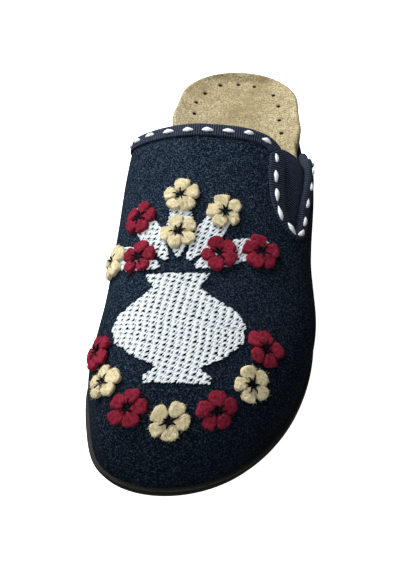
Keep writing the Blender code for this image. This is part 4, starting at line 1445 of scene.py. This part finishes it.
def in_vase(a, b):
    """True inside the vase's outline."""
    half = np.interp(b, VASE["b"] * MM, VASE["half_width"] * MM)
    return (np.abs(a) < half) & (b > VASE["b"][0] * MM) & (b < VASE["b"][-1] * MM)


def in_leaf(turn):
    """A test for the inside of the leaf that leaves the vase's mouth at a turn."""
    sine, cosine = np.sin(np.radians(turn)), np.cos(np.radians(turn))

    def inside(a, b):
        run = a * sine + (b - LEAF_ROOT_B) * cosine
        side = a * cosine - (b - LEAF_ROOT_B) * sine
        share = (run - LEAF_START) / (LEAF_END - LEAF_START)
        half = LEAF_HALF_WIDTH * np.sin(np.pi * (LEAF_NOSE + (1 - 2 * LEAF_NOSE) * np.clip(share, 0, 1)))
        return (share > 0) & (share < 1) & (np.abs(side) < half)

    return inside


def fill_stitches(inside, sizes):
    """Flat ends of the short stitches that fill a shape: parallel threads cut at even lengths, in groups. The
    first threads of a group part at open needle holes, out of step with the next group's; the others close
    up between them."""
    span = np.hypot(CHART_A[-1] - CHART_A[0], CHART_B[-1] - CHART_B[0])
    rows = np.arange(int(span / sizes.thread_pitch)) - int(span / sizes.thread_pitch / 2)
    steps = np.arange(int(span / sizes.thread_length)) - int(span / sizes.thread_length / 2)
    row, step = np.meshgrid(rows, steps, indexing="ij")
    row, step = row.ravel(), step.ravel()

    def uneven(number, drift, seed):
        return lumps(np.stack([number * drift[0], step * drift[1], number * 0.0], axis=-1), 1.0, seed)

    jitter = uneven(row, THREAD_DRIFT, sizes.seed)
    across = (row + FILL_JITTER["pitch"] * jitter) * sizes.thread_pitch
    group = row // THREAD_GROUP
    in_hole = row % THREAD_GROUP < HOLE_ROWS
    wander = uneven(group, GROUP_DRIFT, sizes.seed + 1)
    rolled = {key: np.roll(jitter, shift) for key, shift in FILL_ROLLS.items()}
    gap = sizes.thread_gap * np.where(in_hole, 1 + FILL_JITTER["gap"] * rolled["gap"], CLOSED_GAP)
    hole_shift = FILL_JITTER["hole"] * wander
    closed_shift = CLOSED_STEP + FILL_JITTER["closed"] * jitter
    out_of_step = (GROUP_STEP * group) % 1 + np.where(in_hole, hole_shift, closed_shift)
    slant = THREAD_SLANT * (row % THREAD_GROUP)
    start = (step + out_of_step) * sizes.thread_length + gap / 2 + slant
    share = np.linspace(0, 1, THREAD_SAMPLES)
    along = start[:, None] + (sizes.thread_length - gap)[:, None] * share
    cosine, sine = np.cos(sizes.thread_turn), np.sin(sizes.thread_turn)
    middle = (CHART_B[0] + CHART_B[-1]) / 2
    a = along * cosine - across[:, None] * sine
    b = along * sine + across[:, None] * cosine + middle
    covered = inside(a, b)
    first = np.where(covered, along, np.inf).min(axis=1)
    last = np.where(covered, along, -np.inf).max(axis=1)
    kept = last - first > THREAD_SHORTEST
    ragged = THREAD_RAGGED * np.stack([rolled["start"], rolled["end"]], axis=-1)[kept]
    cut = np.stack([first > along[:, 0], last < along[:, -1]], axis=-1)[kept]
    ends = np.stack([first[kept], last[kept]], axis=-1) + ragged * cut
    flat_a = ends * cosine - across[kept, None] * sine
    flat_b = ends * sine + across[kept, None] * cosine + middle
    return flat_a, flat_b


def spindles(chart, a, b, lift, half):
    """Points and faces of many thin threads: flat centre lines with a lift and a round section."""
    around = np.linspace(0, 2 * np.pi, THREAD_SIDES, endpoint=False)
    ahead = unit(np.stack([np.gradient(a, axis=1), np.gradient(b, axis=1)], axis=-1))
    side = half[..., None] * np.cos(around)
    return tubes(chart.lay(
        a[..., None] - ahead[..., 1:] * side,
        b[..., None] + ahead[..., :1] * side,
        lift[..., None] + half[..., None] * np.sin(around),
    ))


def build_embroidery(sizes, colours):
    """White fill stitches of the vase and the leaves."""
    chart = VampChart()
    finish = thread_finish("white_thread", colours.thread, colours.thread_shade, WHITE_GLOSS)
    shapes = [("vase_threads", "embroidered_vase", in_vase)]
    for number, turn in enumerate(LEAF_ANGLES, start=1):
        shapes.append((f"leaf_threads_{number}", f"embroidered_leaf_{number}", in_leaf(turn)))
    for name, node, inside in shapes:
        ends_a, ends_b = fill_stitches(inside, sizes)
        a = ends_a[:, :1] + (ends_a[:, 1:] - ends_a[:, :1]) * THREAD_STATIONS
        b = ends_b[:, :1] + (ends_b[:, 1:] - ends_b[:, :1]) * THREAD_STATIONS
        lift = np.broadcast_to(THREAD_BASE + THREAD_CROWN * THREAD_LIFT, a.shape)
        half = np.broadcast_to(THREAD_FULLNESS * sizes.thread_pitch * THREAD_THICKNESS, a.shape)
        points, faces = spindles(chart, a, b, lift, half)
        make_piece(name, points, faces, [finish], [node])


def petal_points(chart, a, b, turn, height, rng, seed):
    """One flower: petals set round a centre, each a puffy superellipsoid flat against the vamp, tilted a
    little and roughened with lumps of matted wool."""
    petal = np.arange(PETALS)[:, None, None]
    level = np.linspace(-np.pi / 2, np.pi / 2, PETAL_LEVELS)[:, None]
    around = np.linspace(0, 2 * np.pi, PETAL_AROUND, endpoint=False)
    size = 1 + PETAL_SIZE_JITTER * rng.uniform(-1, 1, (PETALS, 1, 1))
    tilt = PETAL_TILT * rng.uniform(-1, 1, (PETALS, 1, 1))
    heading = 2 * np.pi * petal / PETALS + np.radians(turn)
    heading = heading + PETAL_TURN_JITTER * rng.uniform(-1, 1, (PETALS, 1, 1))
    ring = np.abs(np.cos(level)) ** PETAL_SQUARENESS
    rise = np.sign(np.sin(level)) * np.abs(np.sin(level)) ** PETAL_SQUARENESS
    ahead = np.sign(np.cos(around)) * np.abs(np.cos(around)) ** PETAL_CORNER
    beside = np.sign(np.sin(around)) * np.abs(np.sin(around)) ** PETAL_CORNER
    outward = PETAL_HALF_LENGTH * ring * ahead * size
    sideways = PETAL_HALF_WIDTH * ring * beside * size * (1 + PETAL_TAPER * ahead)
    half_height = (height - PETAL_LOW) / 2
    up = half_height * np.broadcast_to(rise, outward.shape) + outward * np.sin(tilt) * smooth(rise)
    local = np.stack([outward, sideways, up], axis=-1)
    direction = unit(local + np.array([0, 0, NO_LENGTH]))
    spot = local + petal[..., None] * PETALS_APART
    relief = sum(
        lumps(spot, grain * MM, seed + number) * depth * MM
        for number, (grain, depth) in enumerate(zip(FELT_LUMPS["size"], FELT_LUMPS["depth"]))
    )
    local = local + relief[..., None] * direction
    out = PETAL_CENTRE + local[..., 0]
    flat_a = a * MM + out * np.cos(heading) - local[..., 1] * np.sin(heading)
    flat_b = b * MM + out * np.sin(heading) + local[..., 1] * np.cos(heading)
    lift = np.maximum(PETAL_LOW + half_height + local[..., 2], PETAL_FLOOR)
    points = chart.lay(flat_a, flat_b, lift)
    points[:, 0] = points[:, :1].mean(axis=2)
    points[:, -1] = points[:, -1:].mean(axis=2)
    return points


def petal_faces():
    """Faces of a flower's petals on the grid of petal_points; each pole is one vertex."""
    count = PETALS * PETAL_LEVELS * PETAL_AROUND
    index = np.arange(count).reshape(PETALS, PETAL_LEVELS, PETAL_AROUND)
    index[:, 0] = index[:, 0, :1]
    index[:, -1] = index[:, -1, :1]
    return tube_quads(index)


def packed(points, faces):
    """Points and faces without the vertices that no face uses."""
    used, inverse = np.unique(faces, return_inverse=True)
    return points[used], inverse.reshape(faces.shape)


def hairs(roots, outward, rng):
    """Points and faces of fine curled hairs: thin three-sided spindles that leave their roots outwards."""
    count = len(roots)
    heading = unit(outward + FUZZ_SPREAD * rng.normal(size=(count, 3)))
    curl = FUZZ_CURL * rng.normal(size=(count, 3))
    length = FUZZ_LENGTH * rng.uniform(FUZZ_SHORTEST, 1.0, (count, 1, 1))
    share = FUZZ_STATIONS[None, :, None]
    centre = roots[:, None] + length * (heading[:, None] * share + curl[:, None] * share ** 2)
    side = unit(np.cross(heading, curl))
    other = np.cross(heading, side)
    turn = np.linspace(0, 2 * np.pi, FUZZ_SIDES, endpoint=False)[:, None]
    ring = side[:, None] * np.cos(turn) + other[:, None] * np.sin(turn)
    return tubes(centre[:, :, None] + FUZZ_WIDTH * (1 - FUZZ_TAPER * share[..., None]) * ring[:, None])


def build_flowers(sizes, colours):
    """Felt flowers in two colours, with loose hairs standing off their petals."""
    chart = VampChart()
    rng = np.random.default_rng(sizes.seed)
    kinds = [
        ("red", FLOWERS_RED, felt_finish("red_felt", colours.red, colours.red_hollow_shade)),
        ("cream", FLOWERS_CREAM, felt_finish("cream_felt", colours.cream, colours.cream_hollow_shade)),
    ]
    faces = petal_faces()
    for kind, rows, finish in kinds:
        roots, outward = [], []
        for number, (a, b, turn) in enumerate(zip(rows["a"], rows["b"], rows["turn"]), start=1):
            seed = sizes.seed + FLOWER_SEED_STEP * number
            grid = petal_points(chart, a, b, turn, sizes.petal_height, rng, seed)
            points, corners = packed(grid.reshape(-1, 3), faces)
            node = f"felt_flower_{kind}_{number}"
            piece = make_piece(f"{kind}_flower_{number}", points, [corners], [finish], [node])
            petal = rng.integers(PETALS, size=FUZZ_HAIRS)
            level = rng.integers(PETAL_LEVELS // 2, PETAL_LEVELS, size=FUZZ_HAIRS)
            spot = grid[petal, level, rng.integers(PETAL_AROUND, size=FUZZ_HAIRS)]
            away = unit(spot - grid.mean(axis=(1, 2))[petal])
            roots.append(spot - FUZZ_ROOT * away)
            outward.append(away)
        points, corners = hairs(np.concatenate(roots), np.concatenate(outward), rng)
        make_piece(f"{kind}_fuzz", points, corners, [finish])


def build_stars(sizes, colours):
    """Dark star stitches that hold the flowers: spokes that climb from the centre over the petals."""
    chart = VampChart()
    rng = np.random.default_rng(sizes.seed + 1)
    rows = {key: np.concatenate([FLOWERS_RED[key], FLOWERS_CREAM[key]]) for key in FLOWERS_RED}
    flowers = len(rows["a"])
    share = np.linspace(0, 1, SPOKE_STATIONS)
    spoke = np.arange(SPOKES)[None, :, None]
    wander = rng.uniform(-1, 1, (2, flowers, SPOKES, 1))
    heading = 2 * np.pi * (spoke + 0.5) / SPOKES + np.radians(rows["turn"])[:, None, None]
    heading = heading + SPOKE_TURN_JITTER * wander[0]
    length = SPOKE_LENGTH * (1 + SPOKE_LENGTH_JITTER * wander[1]) * share
    a = rows["a"][:, None, None] * MM + length * np.cos(heading)
    b = rows["b"][:, None, None] * MM + length * np.sin(heading)
    dive = smooth((share - SPOKE_DIVE_START) / (1 - SPOKE_DIVE_START)) * SPOKE_DIVE
    climb = smooth(share * SPOKE_CLIMB) * (1 - dive)
    lift = SPOKE_CENTRE_LIFT + (SPOKE_END_LIFT - SPOKE_CENTRE_LIFT) * climb
    flat = (flowers * SPOKES, SPOKE_STATIONS)
    half = np.broadcast_to(SPOKE_WIDTH * (1 - SPOKE_THINNING * share ** SPOKE_TAPER), flat)
    lift = np.broadcast_to(lift, flat)
    points, faces = spindles(chart, a.reshape(flat), b.reshape(flat), lift, half)
    finish = thread_finish("navy_thread", colours.star, tint(colours.star, STAR_SHADE), STAR_GLOSS)
    return make_piece("flower_stars", points, faces, [finish])


def look_at(eye, target, roll=0.0):
    """Matrix of a thing at eye that looks at a target along its own -Z, turned about that line by a roll."""
    back = unit(eye - target)
    right = unit(np.cross([0, 0, 1], back))
    up = np.cross(back, right)
    turned = [right * np.cos(roll) + up * np.sin(roll), up * np.cos(roll) - right * np.sin(roll), back]
    matrix = np.identity(4)
    matrix[:3, :3] = np.stack(turned, axis=1)
    matrix[:3, 3] = eye
    return Matrix(matrix.tolist())


def add_light(name, place, size, power):
    """A soft white square light aimed at the slipper."""
    lamp = bpy.data.lights.new(name, "AREA")
    lamp.size = size
    lamp.energy = power
    light = bpy.data.objects.new(name, lamp)
    bpy.context.scene.collection.objects.link(light)
    light.matrix_world = look_at(np.array(place), TARGET)


def build_stage(sizes, colours):
    """Camera at the picture's angle, a pale floor that throws no light up, and three soft lights."""
    back = np.array([
        np.sin(AZIMUTH) * np.cos(ELEVATION),
        -np.cos(AZIMUTH) * np.cos(ELEVATION),
        np.sin(ELEVATION),
    ])
    camera = bpy.data.cameras.new("camera")
    camera.lens = LENS
    camera.sensor_width = SENSOR
    view = bpy.data.objects.new("camera", camera)
    scene = bpy.context.scene
    scene.collection.objects.link(view)
    view.matrix_world = look_at(TARGET + DISTANCE * back, TARGET, ROLL)
    scene.camera = view
    scene.view_settings.view_transform = "Standard"

    half = FLOOR_SIZE / 2
    corners = [(x, y, -FLOOR_DROP) for x, y in ((-half, -half), (half, -half), (half, half), (-half, half))]
    mesh = bpy.data.meshes.new("floor")
    mesh.from_pydata(corners, [], [(0, 1, 2, 3)])
    mesh.materials.append(floor_finish(colours.floor).material)
    floor = bpy.data.objects.new("floor", mesh)
    scene.collection.objects.link(floor)
    floor.visible_diffuse = False
    floor.visible_glossy = False

    world = bpy.data.worlds.new("studio")
    world.use_nodes = True
    background = world.node_tree.nodes["Background"]
    background.inputs["Color"].default_value = WORLD_COLOUR
    background.inputs["Strength"].default_value = WORLD_STRENGTH
    scene.world = world
    for name, (place, size, power) in LIGHTS.items():
        add_light(name, place, size, power)


class SlipperOperator:
    """What the operators share: run the builder on the scene's settings."""

    bl_options = {"REGISTER", "UNDO"}

    def execute(self, context):
        self.build(context.scene.slipper_sizes, context.scene.slipper_colours)
        return {"FINISHED"}


class SLIPPER_OT_stage(SlipperOperator, bpy.types.Operator):
    """Make the camera, the floor and the lights"""

    bl_idname = "slipper.stage"
    bl_label = "Stage"
    build = staticmethod(build_stage)


class SLIPPER_OT_sole(SlipperOperator, bpy.types.Operator):
    """Make the foam wedge with its lip, groove and tread"""

    bl_idname = "slipper.sole"
    bl_label = "Wedge sole"
    build = staticmethod(build_sole)


class SLIPPER_OT_footbed(SlipperOperator, bpy.types.Operator):
    """Make the cupped footbed with its pinholes"""

    bl_idname = "slipper.footbed"
    bl_label = "Footbed"
    build = staticmethod(build_footbed)


class SLIPPER_OT_upper(SlipperOperator, bpy.types.Operator):
    """Make the lined suede upper"""

    bl_idname = "slipper.upper"
    bl_label = "Upper"
    build = staticmethod(build_upper)


class SLIPPER_OT_gore(SlipperOperator, bpy.types.Operator):
    """Make the elastic panel behind the slit"""

    bl_idname = "slipper.gore"
    bl_label = "Elastic gore"
    build = staticmethod(build_gore)


class SLIPPER_OT_binding(SlipperOperator, bpy.types.Operator):
    """Make the ribbed tape over the upper's edge"""

    bl_idname = "slipper.binding"
    bl_label = "Binding tape"
    build = staticmethod(build_binding)


class SLIPPER_OT_running_stitches(SlipperOperator, bpy.types.Operator):
    """Make the thick white stitches on the tape"""

    bl_idname = "slipper.running_stitches"
    bl_label = "Running stitches"
    build = staticmethod(build_running_stitches)


class SLIPPER_OT_embroidery(SlipperOperator, bpy.types.Operator):
    """Make the fill stitches of the vase and its leaves"""

    bl_idname = "slipper.embroidery"
    bl_label = "Embroidery"
    build = staticmethod(build_embroidery)


class SLIPPER_OT_flowers(SlipperOperator, bpy.types.Operator):
    """Make the felt flowers"""

    bl_idname = "slipper.flowers"
    bl_label = "Felt flowers"
    build = staticmethod(build_flowers)


class SLIPPER_OT_stars(SlipperOperator, bpy.types.Operator):
    """Make the star stitches in the flowers' centres"""

    bl_idname = "slipper.stars"
    bl_label = "Star stitches"
    build = staticmethod(build_stars)


OPERATORS = (
    SLIPPER_OT_stage,
    SLIPPER_OT_sole,
    SLIPPER_OT_footbed,
    SLIPPER_OT_upper,
    SLIPPER_OT_gore,
    SLIPPER_OT_binding,
    SLIPPER_OT_running_stitches,
    SLIPPER_OT_embroidery,
    SLIPPER_OT_flowers,
    SLIPPER_OT_stars,
)


class SLIPPER_PT_panel(bpy.types.Panel):
    """Settings and pieces of the slipper"""

    bl_idname = "SLIPPER_PT_panel"
    bl_label = "Wedge slipper"
    bl_space_type = "VIEW_3D"
    bl_region_type = "UI"
    bl_category = "Slipper"

    def draw(self, context):
        for group in (context.scene.slipper_sizes, context.scene.slipper_colours):
            box = self.layout.box()
            for key in group.__annotations__:
                box.prop(group, key)
        for operator in OPERATORS:
            self.layout.operator(operator.bl_idname)


CLASSES = (SlipperSizes, SlipperColours, *OPERATORS, SLIPPER_PT_panel)


def register():
    """Register the classes and hang the settings on the scene."""
    for cls in CLASSES:
        bpy.utils.register_class(cls)
    bpy.types.Scene.slipper_sizes = PointerProperty(type=SlipperSizes)
    bpy.types.Scene.slipper_colours = PointerProperty(type=SlipperColours)


def unregister():
    """Undo register."""
    del bpy.types.Scene.slipper_colours
    del bpy.types.Scene.slipper_sizes
    for cls in reversed(CLASSES):
        bpy.utils.unregister_class(cls)


def main():
    """Build every piece in order."""
    register()
    bpy.ops.slipper.stage()
    bpy.ops.slipper.sole()
    bpy.ops.slipper.footbed()
    bpy.ops.slipper.upper()
    bpy.ops.slipper.gore()
    bpy.ops.slipper.binding()
    bpy.ops.slipper.running_stitches()
    bpy.ops.slipper.embroidery()
    bpy.ops.slipper.flowers()
    bpy.ops.slipper.stars()


if __name__ == "__main__":
    main()
